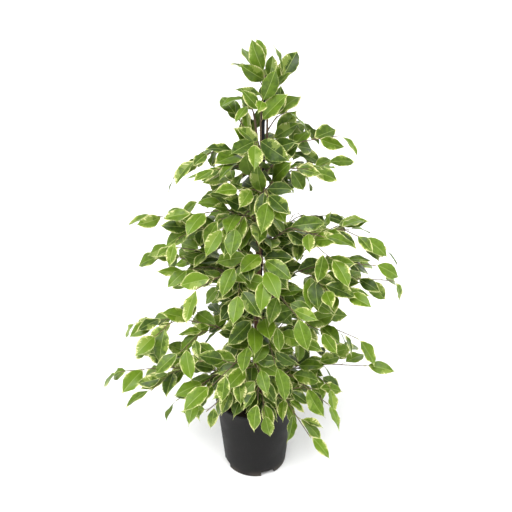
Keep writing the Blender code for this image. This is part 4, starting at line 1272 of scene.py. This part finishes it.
def grid_faces():
    """The blade's faces above, then those below. Both sides share their points along the whole outline."""
    rows, columns = len(BLADE_SHARES), len(BLADE_ACROSS)
    above = np.arange(rows * columns).reshape(rows, columns)
    below = above.copy()
    inside = (rows - 2) * (columns - 2)
    below[1:-1, 1:-1] = rows * columns + np.arange(inside).reshape(rows - 2, columns - 2)
    sides = []
    for grid, order in ((above, 1), (below, -1)):
        corners = np.stack([grid[:-1, :-1], grid[:-1, 1:], grid[1:, 1:], grid[1:, :-1]], -1)
        sides.append(corners.reshape(-1, 4)[:, ::order].tolist())
    return sides


BLADE_GRID = grid_faces()


def blade_outline():
    """Half the blade's width at each share of its length, as a share of its greatest half width."""
    body = np.sin(math.pi * np.minimum(BLADE_SHARES / BODY_SHARE, 1) ** BODY_SKEW).clip(0) ** BODY_POWER
    drip = DRIP_HALF_WIDTH * ((1 - BLADE_SHARES) / DRIP_SHARE).clip(0, 1) * (BLADE_SHARES > 0.5)
    return np.maximum(np.maximum(body, drip), LEAST_HALF_WIDTH)


def margin_teeth(share, count, pace, first, second):
    """Shallow uneven teeth along one half of the margin."""
    turn = 2 * math.pi * count * share
    return np.sin(turn + first) + SECOND_TEETH * np.sin(turn * pace + second)


def blade_shape(leaf, draw, look):
    """A fine blade in a leaf's place: arched, folded at its midrib, waved at its margins."""
    size = leaf.length / LEAF_LENGTH
    share = BLADE_SHARES[:, None]
    across = BLADE_ACROSS[None, :]
    out = np.abs(across)
    left = across < 0
    forward, up = np.array(leaf.along), np.array(leaf.up)
    sideways = np.cross(forward, up)

    angle = leaf.arch * share
    bow = leaf.length / leaf.arch
    curl = draw.uniform(0, TIP_CURL) * leaf.length * ((share - CURL_FROM).clip(0) / (1 - CURL_FROM)) ** 2
    ahead = (np.sin(angle) * bow)[..., None]
    fall = ((1 - np.cos(angle)) * bow + curl)[..., None]
    middle = np.array(leaf.base) + forward * ahead - up * fall
    upward = up * np.cos(angle)[..., None] + forward * np.sin(angle)[..., None]

    phases = [draw.uniform(0, 2 * math.pi) for _ in range(6)]
    count = draw.uniform(*TEETH)
    teeth = np.where(
        left,
        margin_teeth(share, count, TEETH_PACES[0], phases[0], phases[1]),
        margin_teeth(share, count, TEETH_PACES[1], phases[2], phases[3]),
    )
    lopsided = draw.uniform(-LOPSIDED, LOPSIDED)
    uneven = 1 + draw.uniform(*TEETH_DEPTH) * teeth + np.where(left, lopsided, -lopsided)
    half = BODY_WIDTH * leaf.width / 2 * blade_outline()[:, None] * uneven
    aside = across * half

    swing = 2 * math.pi * draw.uniform(*WAVES) * share + np.where(left, phases[4], phases[5])
    height = look.wave * size * draw.uniform(*WAVE_HEIGHT)
    wave = height * out ** WAVE_POWER * np.sin(swing) * np.sqrt(np.sin(math.pi * share).clip(0))
    cupped = 1 - draw.uniform(*CUPPING) * out
    rise = np.abs(aside) * math.sin(leaf.fold) * cupped + wave
    bend = draw.uniform(-BLADE_BEND, BLADE_BEND) * leaf.length * share ** 2
    twist = draw.uniform(-BLADE_TWIST, BLADE_TWIST) * share ** TWIST_POWER
    sheet = middle + sideways * (aside * math.cos(leaf.fold) + bend)[..., None]
    sheet = sheet + upward * (rise + aside * twist)[..., None]

    thick = np.sqrt(np.sin(math.pi * share.clip(0.02, 0.98))) * (1 - EDGE_THINNING * out)
    thick = thick * look.thickness / 2
    rib = np.where(out == 0, size, 0) * (1 - RIB_THINNING * share)
    inside = np.zeros_like(aside)
    inside[1:-1, 1:-1] = 1
    above = sheet + upward * ((thick - rib * RIB_GROOVE) * inside)[..., None]
    below = sheet - upward * ((thick + rib * RIB_KEEL) * inside)[..., None]

    along_blade = share * leaf.length
    spots = np.stack(np.broadcast_arrays(along_blade, aside, half - np.abs(aside)), -1) * MM
    points = np.concatenate([above.reshape(-1, 3), below[1:-1, 1:-1].reshape(-1, 3)])
    spots = np.concatenate([spots.reshape(-1, 3), spots[1:-1, 1:-1].reshape(-1, 3)])
    return points, spots


def stalk_line(leaf, root):
    """The leaf stalk's line, from its twig to just inside the blade."""
    root, base = Vector(root), leaf.base
    end = base + leaf.along * STALK_INTO_BLADE - leaf.up * STALK_SINK
    bend = base - leaf.along * (base - root).length * STALK_BOW
    line = []
    for step in range(STALK_STEPS + 1):
        share = step / STALK_STEPS
        line.append(root.lerp(bend, share).lerp(bend.lerp(end, share), share))
    return line


def add_leaf(mould, name, leaf, root, youth, look):
    """One leaf with its stalk."""
    draw = random.Random(name)
    seed = draw.random()
    patch = 0.0
    if draw.random() < PATCHED_SHARE:
        patch = draw.choice((-1, 1)) * draw.uniform(*PATCH_SIZE)
    points, spots = blade_shape(leaf, draw, look)
    above, below = BLADE_GRID
    mould.add(points, above, spots, (seed, youth, patch), TOP_SIDE)
    mould.join(below, UNDER_SIDE)
    radii = np.linspace(*STALK_RADII, STALK_STEPS + 1) * (leaf.length / LEAF_LENGTH)
    mould.add(*tube_shape(stalk_line(leaf, root), radii, STALK_SIDES), (seed, youth, 0), STALK_WOOD)


def packed_leaves(name, nodes):
    """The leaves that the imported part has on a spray: for each node, the way to grow whose tip is there."""
    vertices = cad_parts[name].data.vertices
    tips = KDTree(len(vertices))
    for number, vertex in enumerate(vertices):
        tips.insert(vertex.co, number)
    tips.balance()
    found = []
    for number, node in enumerate(nodes):
        for attempt in range(ATTEMPTS):
            leaf = leaf_on(name, number, attempt, node)
            if tips.find(blade_place(leaf, 1)[0])[2] < TIP_MATCH:
                found.append((number, node, leaf))
                break
    return found


def rest_nodes(name, twigs, share):
    """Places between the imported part's leaves, and at each twig's bare root, where leaves may stand."""
    draw = random.Random(name + " rest")
    nodes = []
    for twig in twigs:
        length = line_lengths(twig.line)[-1]
        distance = REST_SPACING * draw.uniform(*REST_FIRST)
        side = draw.choice((-1, 1))
        while distance < length * REST_END:
            place, tangent = line_point(twig.line, distance)
            if draw.random() < share * (1 - REST_THINNING * distance / length):
                nodes.append(Node(place, tangent, side, draw.uniform(*REST_SCALE)))
            side = -side
            distance += REST_SPACING * draw.uniform(*REST_VARIES)
    return nodes


def axil_nodes(name, spray):
    """Places on the stem beside a spray's root, where leaves stand on short stalks."""
    draw = random.Random(name + " axil")
    stem = STEMS[spray.stem]
    nodes = []
    for turn, drop in AXIL_PLACES:
        height = spray.height - drop + draw.uniform(-AXIL_SHIFT, AXIL_SHIFT)
        out = heading_vector(spray.heading + turn + draw.uniform(-AXIL_TURN, AXIL_TURN))
        place = stem_point(stem, height) + out * stem_radius(stem, height) * AXIL_OUT
        onward = (out + UP * AXIL_RISE).normalized()
        nodes.append(Node(place, onward, 0, draw.uniform(*AXIL_SCALE)))
    return nodes


def packed_room():
    """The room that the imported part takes."""
    room = Room()
    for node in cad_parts.values():
        points = [vertex.co.copy() for vertex in node.data.vertices]
        room.take(points, [tuple(face.vertices) for face in node.data.polygons])
    return room


def settle_rest(name, nodes, room, view):
    """Leaves on the given places, each in the way, of the first clear ones, that fills the crown best."""
    leaves = []
    for number, node in enumerate(nodes):
        free = []
        for attempt in range(REST_ATTEMPTS):
            leaf = leaf_on(name, number, attempt, node)
            if room.is_free(leaf_points(leaf), BLADE_FACES):
                free.append(leaf)
            if len(free) == REST_CHOICES:
                break
        best = max(free, key=view.worth, default=None)
        if best and view.worth(best) >= LEAST_WORTH:
            room.take(leaf_points(best), BLADE_FACES)
            view.cover(best)
            leaves.append((number, node, best))
    return leaves


def youth_of(node):
    """How young a leaf is, from 0 to 1: small leaves near a twig's tip are the youngest."""
    return min(max((ROOT_SCALE - node.scale) / (ROOT_SCALE - TIP_SCALE), 0), 1)


def swollen(radii, distance, share, length):
    """Radii that swell by a share at a place, and fall back over a length from it."""
    return radii * (1 + share * np.exp(-((distance / length) ** 2)))


def add_twig(mould, name, line, twig, look, age):
    """A fine twig with a swelling at each leaf, and a pointed bud at its tip."""
    fine = fine_line(line, TWIG_STEP)
    share = np.linspace(0, 1, len(fine))
    radii = (twig.root_radius + (twig.tip_radius - twig.root_radius) * share) * look.twig_share
    from_root = share * line_lengths(line)[-1]
    radii = radii * (1 + ROOT_SWELLING * np.exp(-(from_root / ROOT_SWELLING_LENGTH)))
    for node in twig.nodes:
        far = np.linalg.norm(fine - np.array(node.place), axis=1)
        radii = swollen(radii, far, KNOT_SWELLING, KNOT_SWELLING_LENGTH)
    draw = random.Random(name)
    mould.add(*tube_shape(fine, radii, TWIG_SIDES), (draw.random(), age, 0), TWIG_WOOD)
    onward = Vector(fine[-1] - fine[-2]).normalized()
    bud = [Vector(fine[-1]) + onward * far for far in BUD_PLACES]
    mould.add(*tube_shape(bud, BUD_RADII * radii[-1], TWIG_SIDES), (draw.random(), 1, 0), STALK_WOOD)
    return fine


def nearest_on(fine, place):
    """The point of a fine line that lies nearest to a place."""
    return fine[np.argmin(np.linalg.norm(fine - np.array(place), axis=1))]


def dress_spray(spray, leaves, finishes, crown, looks):
    """One leafy spray: its twigs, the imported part's leaves made fine, and the leaves between them."""
    name, twigs, start, axils = spray
    leaf_look, wood_look = looks
    mould = Mould()
    rest = settle_rest(name + " rest", rest_nodes(name, twigs, leaf_look.rest_share), *crown)
    axil = settle_rest(name + " axil", axils, *crown)
    lines = []
    for number, twig in enumerate(twigs):
        line = twig.line if number else [start, *twig.line]
        age = SHOOT_AGE if number else MAIN_TWIG_AGE
        lines.append(add_twig(mould, f"{name} {number}", line, twig, wood_look, age))
    wood = np.concatenate(lines)
    for number, node, leaf in leaves:
        root = nearest_on(wood, node.place)
        add_leaf(mould, f"{name} leaf {number}", leaf, root, youth_of(node), leaf_look)
    for number, node, leaf in rest:
        add_leaf(mould, f"{name} rest {number}", leaf, nearest_on(wood, node.place), 0, leaf_look)
    for number, node, leaf in axil:
        add_leaf(mould, f"{name} axil {number}", leaf, node.place, 0, leaf_look)
    mould.cast("fig_" + name, finishes, [name])
    return len(rest) + len(axil)


def all_sprays():
    """Each spray and leader: its name, twigs and start on its stem, and the places beside its root."""
    sprays = []
    for number, spray in enumerate(SPRAYS):
        name = f"spray_{number + 1:02d}"
        start = stem_point(STEMS[spray.stem], spray.height)
        sprays.append((name, spray_twigs(name, spray), start, axil_nodes(name, spray)))
    for leader in LEADERS:
        name = "leader_" + leader.stem
        top, below = (Vector(STEMS[leader.stem].points[i]) for i in (-1, -2))
        start = top + (below - top).normalized() * LEADER_ROOT
        sprays.append((name, leader_twigs(name, leader), start, []))
    return sprays


def dress_stem(name, stem, finish):
    """A barked stem: slightly uneven, ringed by old leaf scars and wider at the soil."""
    draw = random.Random("bark " + name)
    low, high = stem.points[0][2], stem.points[-1][2]
    heights = np.linspace(low, high, round((high - low) / STEM_STEP) + 1)
    line = smoothed(np.array([tuple(stem_point(stem, height)) for height in heights]), STEM_SMOOTHING)
    radii = np.array([stem_radius(stem, height) for height in heights])
    radii = radii * (1 + FOOT_SWELLING * np.exp(-np.abs(heights - SOIL_MIDDLE) / FOOT_SWELLING_LENGTH))
    scar = SOIL_MIDDLE + FIRST_SCAR
    while scar < high:
        radii = swollen(radii, heights - scar, draw.uniform(*SCAR_SWELLING), SCAR_LENGTH)
        scar += draw.uniform(*SCAR_SPACING)
    points, faces, spots = tube_shape(line, radii, STEM_SIDES)
    shift = Vector((draw.uniform(0, BARK_SHIFT), 0, 0))
    centres = np.repeat(line, STEM_SIDES, 0)
    uneven = np.array([noise.noise(Vector(point) * BARK_LUMPS + shift) for point in points])
    points = centres + (points - centres) * (1 + BARK_LUMP_HEIGHT * uneven)[:, None]
    mould = Mould()
    mould.add(points, faces, spots, (draw.random(), 0, 0))
    age = np.repeat((heights - low) / (high - low), STEM_SIDES)
    mould.kinds[0][:, 1] = age ** BARK_AGEING
    return mould.cast("fig_stem_" + name, [finish], ["stem_" + name])


def wall_radius(look, height):
    """The pot wall's outer radius at a height, below its lip."""
    top = look.rim_radius - LIP_OUT
    return POT_BASE_RADIUS + (top - POT_BASE_RADIUS) * height / look.height


def arc(centre, radius, start, end, count):
    """Points of a rounded corner in a profile, by their angles in degrees."""
    points = []
    for step in range(count + 1):
        angle = math.radians(start + (end - start) * step / count)
        points.append((centre[0] + radius * math.cos(angle), centre[1] + radius * math.sin(angle)))
    return points


def turned(name, profile):
    """An object turned about +Z from a profile of (radius, height) points."""
    mesh = bpy.data.meshes.new(name)
    mesh.from_pydata([(r, 0, z) for r, z in profile], [(i, i + 1) for i in range(len(profile) - 1)], [])
    made = add_object(name, mesh)
    screw = made.modifiers.new("Turn", "SCREW")
    screw.steps = POT_STEPS
    screw.render_steps = POT_STEPS
    screw.use_merge_vertices = True
    screw.merge_threshold = 0.00001
    work_out(made)
    return made


def work_out(made):
    """Gives the object the mesh that its modifiers make, and takes them off."""
    bpy.context.view_layer.update()
    evaluated = made.evaluated_get(bpy.context.evaluated_depsgraph_get())
    made.data = bpy.data.meshes.new_from_object(evaluated)
    made.modifiers.clear()


def rounded_block(name, centre, size, heading, rounding):
    """A box with rounded edges, its first size lying along a heading."""
    work = bmesh.new()
    bmesh.ops.create_cube(work, size=1)
    bmesh.ops.scale(work, verts=work.verts, vec=size)
    if rounding:
        edges = list(work.edges)
        bmesh.ops.bevel(work, geom=edges, offset=rounding, segments=3, profile=0.5, affect="EDGES")
    place = Matrix.Translation(centre) @ Matrix.Rotation(math.radians(heading), 4, "Z")
    bmesh.ops.transform(work, verts=work.verts, matrix=place)
    mesh = bpy.data.meshes.new(name)
    work.to_mesh(mesh)
    work.free()
    return add_object(name, mesh)


def combine(target, tools, operation):
    """Joins or cuts an object with several tools, which are then removed."""
    group = bpy.data.collections.new("tools")
    bpy.context.scene.collection.children.link(group)
    for tool in tools:
        group.objects.link(tool)
    boolean = target.modifiers.new(operation.title(), "BOOLEAN")
    boolean.operation = operation
    boolean.operand_type = "COLLECTION"
    boolean.collection = group
    work_out(target)
    for tool in tools:
        bpy.data.objects.remove(tool)
    bpy.data.collections.remove(group)


def recess_blocks(name, look, grow, low, rounding):
    """A block at each drainage recess."""
    outer = wall_radius(look, RECESS_HEIGHT) + RECESS_PAST
    inner = POT_BASE_RADIUS - RECESS_DEPTH - grow
    high = RECESS_HEIGHT + grow
    size = (outer - inner, RECESS_WIDTH + 2 * grow, high - low)
    blocks = []
    for number, heading in enumerate(RECESS_HEADINGS):
        centre = heading_vector(heading) * (inner + outer) / 2 + UP * (low + high) / 2
        blocks.append(rounded_block(f"{name}_{number}", centre, size, heading, rounding))
    return blocks


def pot_profile(look):
    """The pot's section, without its recesses: up the inside, over the lip and down to the foot."""
    corner = POT_FLOOR + FLOOR_CORNER
    under_lip = look.height - look.lip
    profile = [(0, POT_FLOOR), (wall_radius(look, POT_FLOOR) - look.wall - FLOOR_CORNER, POT_FLOOR)]
    profile += [(wall_radius(look, z) - look.wall, z) for z in (corner, *WALL_HEIGHTS)]
    inner_top = look.rim_radius - LIP_OUT - look.wall
    profile += arc((inner_top + LIP_EDGE, look.height - LIP_EDGE), LIP_EDGE, 180, 90, 4)
    profile += arc((look.rim_radius - LIP_EDGE, look.height - LIP_EDGE), LIP_EDGE, 90, 0, 4)
    under = (look.rim_radius - LIP_UNDER_EDGE, under_lip + LIP_UNDER_EDGE)
    profile += arc(under, LIP_UNDER_EDGE, 0, -90, 3)
    profile.append((wall_radius(look, under_lip) + LIP_STEP_OUT, under_lip))
    outside = (under_lip - LIP_STEP, *reversed(WALL_HEIGHTS), WALL_FOOT)
    profile += [(wall_radius(look, z), z) for z in outside]
    foot = (wall_radius(look, FOOT_ROUNDING) - FOOT_ROUNDING, FOOT_ROUNDING)
    profile += arc(foot, FOOT_ROUNDING, 0, -90, 5)
    return [*profile, (0, 0)]


def drain_tool(look, heading):
    """A round tool for the drain hole in a recess's roof."""
    middle = heading_vector(heading) * (POT_BASE_RADIUS - RECESS_DEPTH / 2 - look.wall)
    ends = (RECESS_HEIGHT - DRAIN_PAST, RECESS_HEIGHT + look.wall + DRAIN_PAST)
    points, faces, _ = tube_shape([middle + UP * height for height in ends], DRAIN_RADIUS, DRAIN_SIDES)
    mesh = bpy.data.meshes.new("drain")
    mesh.from_pydata(points.tolist(), [], faces)
    return add_object("drain", mesh)


def pot_shape(look):
    """The moulded pot: a thin lip, a straight tapered wall, a rounded foot, drainage recesses and holes."""
    pot = turned("pot_turned", pot_profile(look))
    blocks = recess_blocks("recess_wall", look, look.wall, 0.0, 0)
    plug_low = POT_FLOOR / 2
    for wall in blocks:
        plug = turned("plug", [
            (0, PLUG_TOP), (wall_radius(look, PLUG_TOP) - look.wall / 2, PLUG_TOP),
            (wall_radius(look, 0) - look.wall / 2, plug_low), (0, plug_low),
        ])
        combine(wall, [plug], "INTERSECT")
    combine(pot, blocks, "UNION")
    cutters = recess_blocks("recess_cutter", look, 0, -CUT_PAST, RECESS_EDGE)
    cutters += [drain_tool(look, heading) for heading in RECESS_HEADINGS]
    combine(pot, cutters, "DIFFERENCE")
    mesh = pot.data
    bpy.data.objects.remove(pot)
    return mesh


def soil_height(x, y, radius):
    """The soil's surface: a low crown with small lumps."""
    far = math.hypot(x, y) / radius
    base = SOIL_MIDDLE + (SOIL_EDGE - SOIL_MIDDLE) * far ** 3 - SOIL_SINK
    return base + sum(noise.noise(Vector((x, y, z)) * scale) * high for scale, high, z in SOIL_LUMPS)


def soil_body(look, radius):
    """The soil's surface and, below it, its plain body in the pot."""
    spokes = [heading_vector(360 * spoke / SOIL_SPOKES) for spoke in range(SOIL_SPOKES)]
    points = [(0, 0, soil_height(0, 0, radius))]
    for ring in range(1, SOIL_RINGS + 1):
        for out in spokes:
            x, y, _ = out * radius * ring / SOIL_RINGS
            points.append((x, y, soil_height(x, y, radius)))
    bottom = wall_radius(look, SOIL_FOOT) - look.wall - 2 * GAP
    points += [tuple(out * bottom + UP * SOIL_FOOT) for out in spokes]
    faces = [(0, 1 + i, 1 + (i + 1) % SOIL_SPOKES) for i in range(SOIL_SPOKES)]
    for ring in range(SOIL_RINGS):
        here, there = 1 + ring * SOIL_SPOKES, 1 + (ring + 1) * SOIL_SPOKES
        for i in range(SOIL_SPOKES):
            j = (i + 1) % SOIL_SPOKES
            faces.append((here + i, there + i, there + j, here + j))
    last = 1 + SOIL_RINGS * SOIL_SPOKES
    faces.append(tuple(last + i for i in reversed(range(SOIL_SPOKES))))
    return np.array(points), faces


def crumb_ball():
    """The points and faces of a small ball that crumbs are shaped from."""
    ball = bmesh.new()
    bmesh.ops.create_icosphere(ball, subdivisions=2, radius=1)
    points = np.array([tuple(vertex.co) for vertex in ball.verts])
    faces = [tuple(vertex.index for vertex in face.verts) for face in ball.faces]
    ball.free()
    return points, faces


def add_crumb(mould, draw, radius, ball, ball_faces):
    """A crumb, or sometimes a fibre, that lies somewhere on the soil."""
    far = radius * CRUMB_REACH * math.sqrt(draw.random())
    angle = draw.uniform(0, 2 * math.pi)
    x, y = far * math.cos(angle), far * math.sin(angle)
    fibre = draw.random() < FIBRE_SHARE
    big = draw.uniform(*CRUMB_SIZE) * (LARGE_TIMES if draw.random() < LARGE_SHARE else 1)
    if fibre:
        size = (FIBRE_SIZE[0] * draw.uniform(*FIBRE_VARIES), *FIBRE_SIZE[1:])
    else:
        size = (big, big * draw.uniform(*CRUMB_WIDTH), big * draw.uniform(*CRUMB_HEIGHT))
    shift = Vector((draw.uniform(0, CRUMB_SHIFT), 0, 0))
    rough = np.array([noise.noise(Vector(point) * CRUMB_LUMPS + shift) for point in ball])
    shape = ball * (1 + CRUMB_LUMP_HEIGHT * rough)[:, None] * np.array(size)
    turn = Matrix.Rotation(draw.uniform(0, CRUMB_TURN), 3, "Z")
    turn = turn @ Matrix.Rotation(draw.uniform(-CRUMB_TILT, CRUMB_TILT), 3, "Y")
    height = soil_height(x, y, radius) + size[2] * CRUMB_STANDS
    shape = shape @ np.array(turn).T + np.array((x, y, height))
    paleness = (draw.random(), draw.uniform(*FIBRE_PALENESS) if fibre else 0, 0)
    mould.add(shape, ball_faces, shape * MM, paleness)


def dress_soil(look, finish):
    """The soil: a lumpy surface with loose crumbs and fibres, and a plain body below it in the pot."""
    radius = wall_radius(look, SOIL_EDGE) - look.wall - 2 * GAP
    mould = Mould()
    points, faces = soil_body(look, radius)
    mould.add(points, faces, points * MM, (0.4, 0, 0))
    ball, ball_faces = crumb_ball()
    draw = random.Random("crumbs")
    for _ in range(look.clods):
        add_crumb(mould, draw, radius, ball, ball_faces)
    return mould.cast("potting_soil_mix", [finish], ["soil"])


def dress_cane(finish):
    """The straight coated cane, its top rounded."""
    lean = (CANE_TOP - CANE_FOOT).normalized()
    length = (CANE_TOP - CANE_FOOT).length
    stops = [length * step / CANE_STEPS for step in range(CANE_STEPS)] + [length - CANE_DOME]
    radii = [CANE_RADIUS] * len(stops)
    for angle in map(math.radians, DOME_DEGREES):
        stops.append(length - CANE_DOME + CANE_DOME * math.sin(angle))
        radii.append(CANE_RADIUS * (DOME_LEAST + (1 - DOME_LEAST) * math.cos(angle)))
    mould = Mould()
    mould.add_rod([CANE_FOOT + lean * stop for stop in stops], radii, CANE_SIDES)
    return mould.cast("support_cane", [finish], ["cane"])


def dress_tie(number, height, finish):
    """A wire drawn round the stems and the cane, its ends twisted together."""
    share = (height - CANE_FOOT.z) / (CANE_TOP.z - CANE_FOOT.z)
    cane = CANE_FOOT.lerp(CANE_TOP, share)
    held = [(cane, CANE_RADIUS)]
    held += [(stem_point(stem, height), stem_radius(stem, height)) for stem in STEMS.values()]
    line = []
    for step in range(TIE_STEPS):
        out = heading_vector(360 / TIE_STEPS * step)
        centre, radius = max(held, key=lambda piece: piece[0].dot(out) + piece[1])
        spot = centre + out * (radius + TIE_CLEARANCE + TIE_WIRE)
        line.append((spot.x, spot.y, height + TIE_RISE * math.sin(2 * math.pi * step / TIE_STEPS)))
    mould = Mould()
    mould.add_rod(line, TIE_WIRE, TIE_SIDES, closed=True)
    start = Vector(line[TAIL_FROM])
    out = Vector((start.x - cane.x, start.y - cane.y, 0)).normalized()
    aside = UP.cross(out)
    for first_turn in (0, math.pi):
        tail = []
        for step in range(TAIL_STEPS + 1):
            share = step / TAIL_STEPS
            angle = first_turn + share * TAIL_TURNS * 2 * math.pi
            spot = start + out * share * TAIL_REACH - UP * share * TAIL_FALL
            tail.append(spot + (aside * math.cos(angle) + UP * math.sin(angle)) * TAIL_SPREAD)
        mould.add_rod(tail, TAIL_WIRE, TAIL_SIDES)
    return mould.cast(f"tie_wire_{number}", [finish], [f"tie_{number}"])


class FIG_OT_pot(bpy.types.Operator):
    """Makes the moulded nursery pot"""

    bl_idname = "fig.pot"
    bl_label = "Pot"

    def execute(self, context):
        look = context.scene.fig_pot
        mesh = pot_shape(look)
        points = np.array([tuple(vertex.co) for vertex in mesh.vertices])
        mark(mesh, points * MM, np.zeros_like(points))
        mesh.materials.clear()
        mesh.materials.append(plastic_finish("pot_plastic", look.plastic, 0.00012, 0.44, 0.56))
        place_piece("nursery_pot", mesh, ["pot"], sharp_degrees=35)
        return {"FINISHED"}


class FIG_OT_soil(bpy.types.Operator):
    """Makes the potting soil with its crumbs"""

    bl_idname = "fig.soil"
    bl_label = "Soil"

    def execute(self, context):
        look = context.scene.fig_pot
        dress_soil(look, soil_finish(look.soil))
        return {"FINISHED"}


class FIG_OT_cane(bpy.types.Operator):
    """Makes the cane and its two ties"""

    bl_idname = "fig.cane"
    bl_label = "Cane and ties"

    def execute(self, context):
        look = context.scene.fig_pot
        dress_cane(plastic_finish("cane_coating", look.cane, 0.00010, 0.34, 0.46))
        wire = plastic_finish("tie_coating", look.cane, 0.00006, 0.36, 0.48)
        for number, height in enumerate(TIE_HEIGHTS):
            dress_tie(number + 1, height, wire)
        return {"FINISHED"}


class FIG_OT_stems(bpy.types.Operator):
    """Makes the barked stems"""

    bl_idname = "fig.stems"
    bl_label = "Stems"

    def execute(self, context):
        look = context.scene.fig_wood
        bark = wood_finish("stem_bark", look.bark, look.upper_bark, 0.55)
        for name, stem in STEMS.items():
            dress_stem(name, stem, bark)
        return {"FINISHED"}


class FIG_OT_foliage(bpy.types.Operator):
    """Makes every leafy spray and leader"""

    bl_idname = "fig.foliage"
    bl_label = "Foliage"

    def execute(self, context):
        leaf_look, wood_look = context.scene.fig_leaf, context.scene.fig_wood
        finishes = [
            leaf_finish("leaf_top", leaf_look, False),
            leaf_finish("leaf_underside", leaf_look, True),
            stalk_finish(leaf_look),
            wood_finish("twig_bark", wood_look.upper_bark, wood_look.young_twig, 0.35),
        ]
        sprays = all_sprays()
        view = FrontView()
        packed = []
        for name, twigs, _, _ in sprays:
            packed.append(packed_leaves(name, [node for twig in twigs for node in twig.nodes]))
            for _, _, leaf in packed[-1]:
                view.cover(leaf)
        found = sum(map(len, packed))
        if found < LEAST_FOUND:
            raise RuntimeError(f"only {found} of the packed part's leaves were found")
        crown = packed_room(), view
        added = 0
        for spray, leaves in zip(sprays, packed):
            added += dress_spray(spray, leaves, finishes, crown, (leaf_look, wood_look))
        print("leaves of the packed part", found, "and leaves between them", added)
        return {"FINISHED"}


class FIG_OT_stage(bpy.types.Operator):
    """Makes the floor, the lights and the camera"""

    bl_idname = "fig.stage"
    bl_label = "Stage"

    def execute(self, context):
        look = context.scene.fig_stage
        scene = context.scene
        profile = [(0, 0), (look.sweep, 0)]
        profile += arc((look.sweep, SWEEP_BEND), SWEEP_BEND, -90, 0, 10)[1:]
        profile.append((look.sweep + SWEEP_BEND, SWEEP_HEIGHT))
        floor = turned("studio_floor", [(radius, height - FLOOR_GAP) for radius, height in profile])
        floor.data.shade_smooth()
        finish = Finish("floor_paper", look.floor)
        place = finish.add("ShaderNodeTexCoord", {}).outputs["Object"]
        soft = finish.grain(place, 3.0)
        floor.data.materials.append(finish.coat(look.floor, finish.fade(soft, 0.3, 0.7, 0.88, 0.96), 0.2))

        world = bpy.data.worlds.new("studio_world")
        scene.world = world
        world.use_nodes = True
        world.node_tree.nodes["Background"].inputs["Color"].default_value = (1, 1, 1, 1)
        world.node_tree.nodes["Background"].inputs["Strength"].default_value = look.sky

        key = bpy.data.lights.new("key_light", "SUN")
        key.energy = look.key
        key.angle = KEY_SPREAD
        self.hang(key, KEY_PLACE)
        for name, place in SIDE_PLACES.items():
            side = bpy.data.lights.new(name, "AREA")
            side.shape = "RECTANGLE"
            side.size, side.size_y = SIDE_SIZE
            side.energy = look.side_power
            self.hang(side, place)

        camera = add_object("photo_camera", bpy.data.cameras.new("photo_camera"))
        camera.location = look.eye
        camera.rotation_euler = (math.pi / 2 - look.look_down, 0, 0)
        camera.data.sensor_width = SENSOR
        camera.data.lens = look.lens
        scene.camera = camera
        scene.view_settings.view_transform = "Standard"
        return {"FINISHED"}

    def hang(self, light, place):
        """Hangs a light at a place, turned to the plant's middle."""
        lamp = add_object(light.name, light)
        lamp.location = place
        lamp.rotation_euler = (LIT_PLACE - Vector(place)).to_track_quat("-Z", "Y").to_euler()


class FIG_PT_dresser(bpy.types.Panel):
    """Sizes, colours and makers of the fig's pieces"""

    bl_idname = "FIG_PT_dresser"
    bl_label = "Weeping Fig"
    bl_space_type = "VIEW_3D"
    bl_region_type = "UI"
    bl_category = "Fig"

    def draw(self, context):
        for group in GROUPS:
            look = getattr(context.scene, group)
            box = self.layout.box()
            for name in look.__annotations__:
                box.prop(look, name)
        for operator in STEPS:
            self.layout.operator(operator.bl_idname)


GROUPS = {
    "fig_leaf": FigLeafSettings,
    "fig_wood": FigWoodSettings,
    "fig_pot": FigPotSettings,
    "fig_stage": FigStageSettings,
}
STEPS = (FIG_OT_pot, FIG_OT_soil, FIG_OT_cane, FIG_OT_stems, FIG_OT_foliage, FIG_OT_stage)


def register():
    for made in (*GROUPS.values(), *STEPS, FIG_PT_dresser):
        bpy.utils.register_class(made)
    for name, group in GROUPS.items():
        setattr(bpy.types.Scene, name, PointerProperty(type=group))


def unregister():
    for name in GROUPS:
        delattr(bpy.types.Scene, name)
    for made in reversed((*GROUPS.values(), *STEPS, FIG_PT_dresser)):
        bpy.utils.unregister_class(made)


def main():
    register()
    bpy.ops.fig.pot()
    bpy.ops.fig.soil()
    bpy.ops.fig.cane()
    bpy.ops.fig.stems()
    bpy.ops.fig.foliage()
    bpy.ops.fig.stage()


if __name__ == "__main__":
    main()
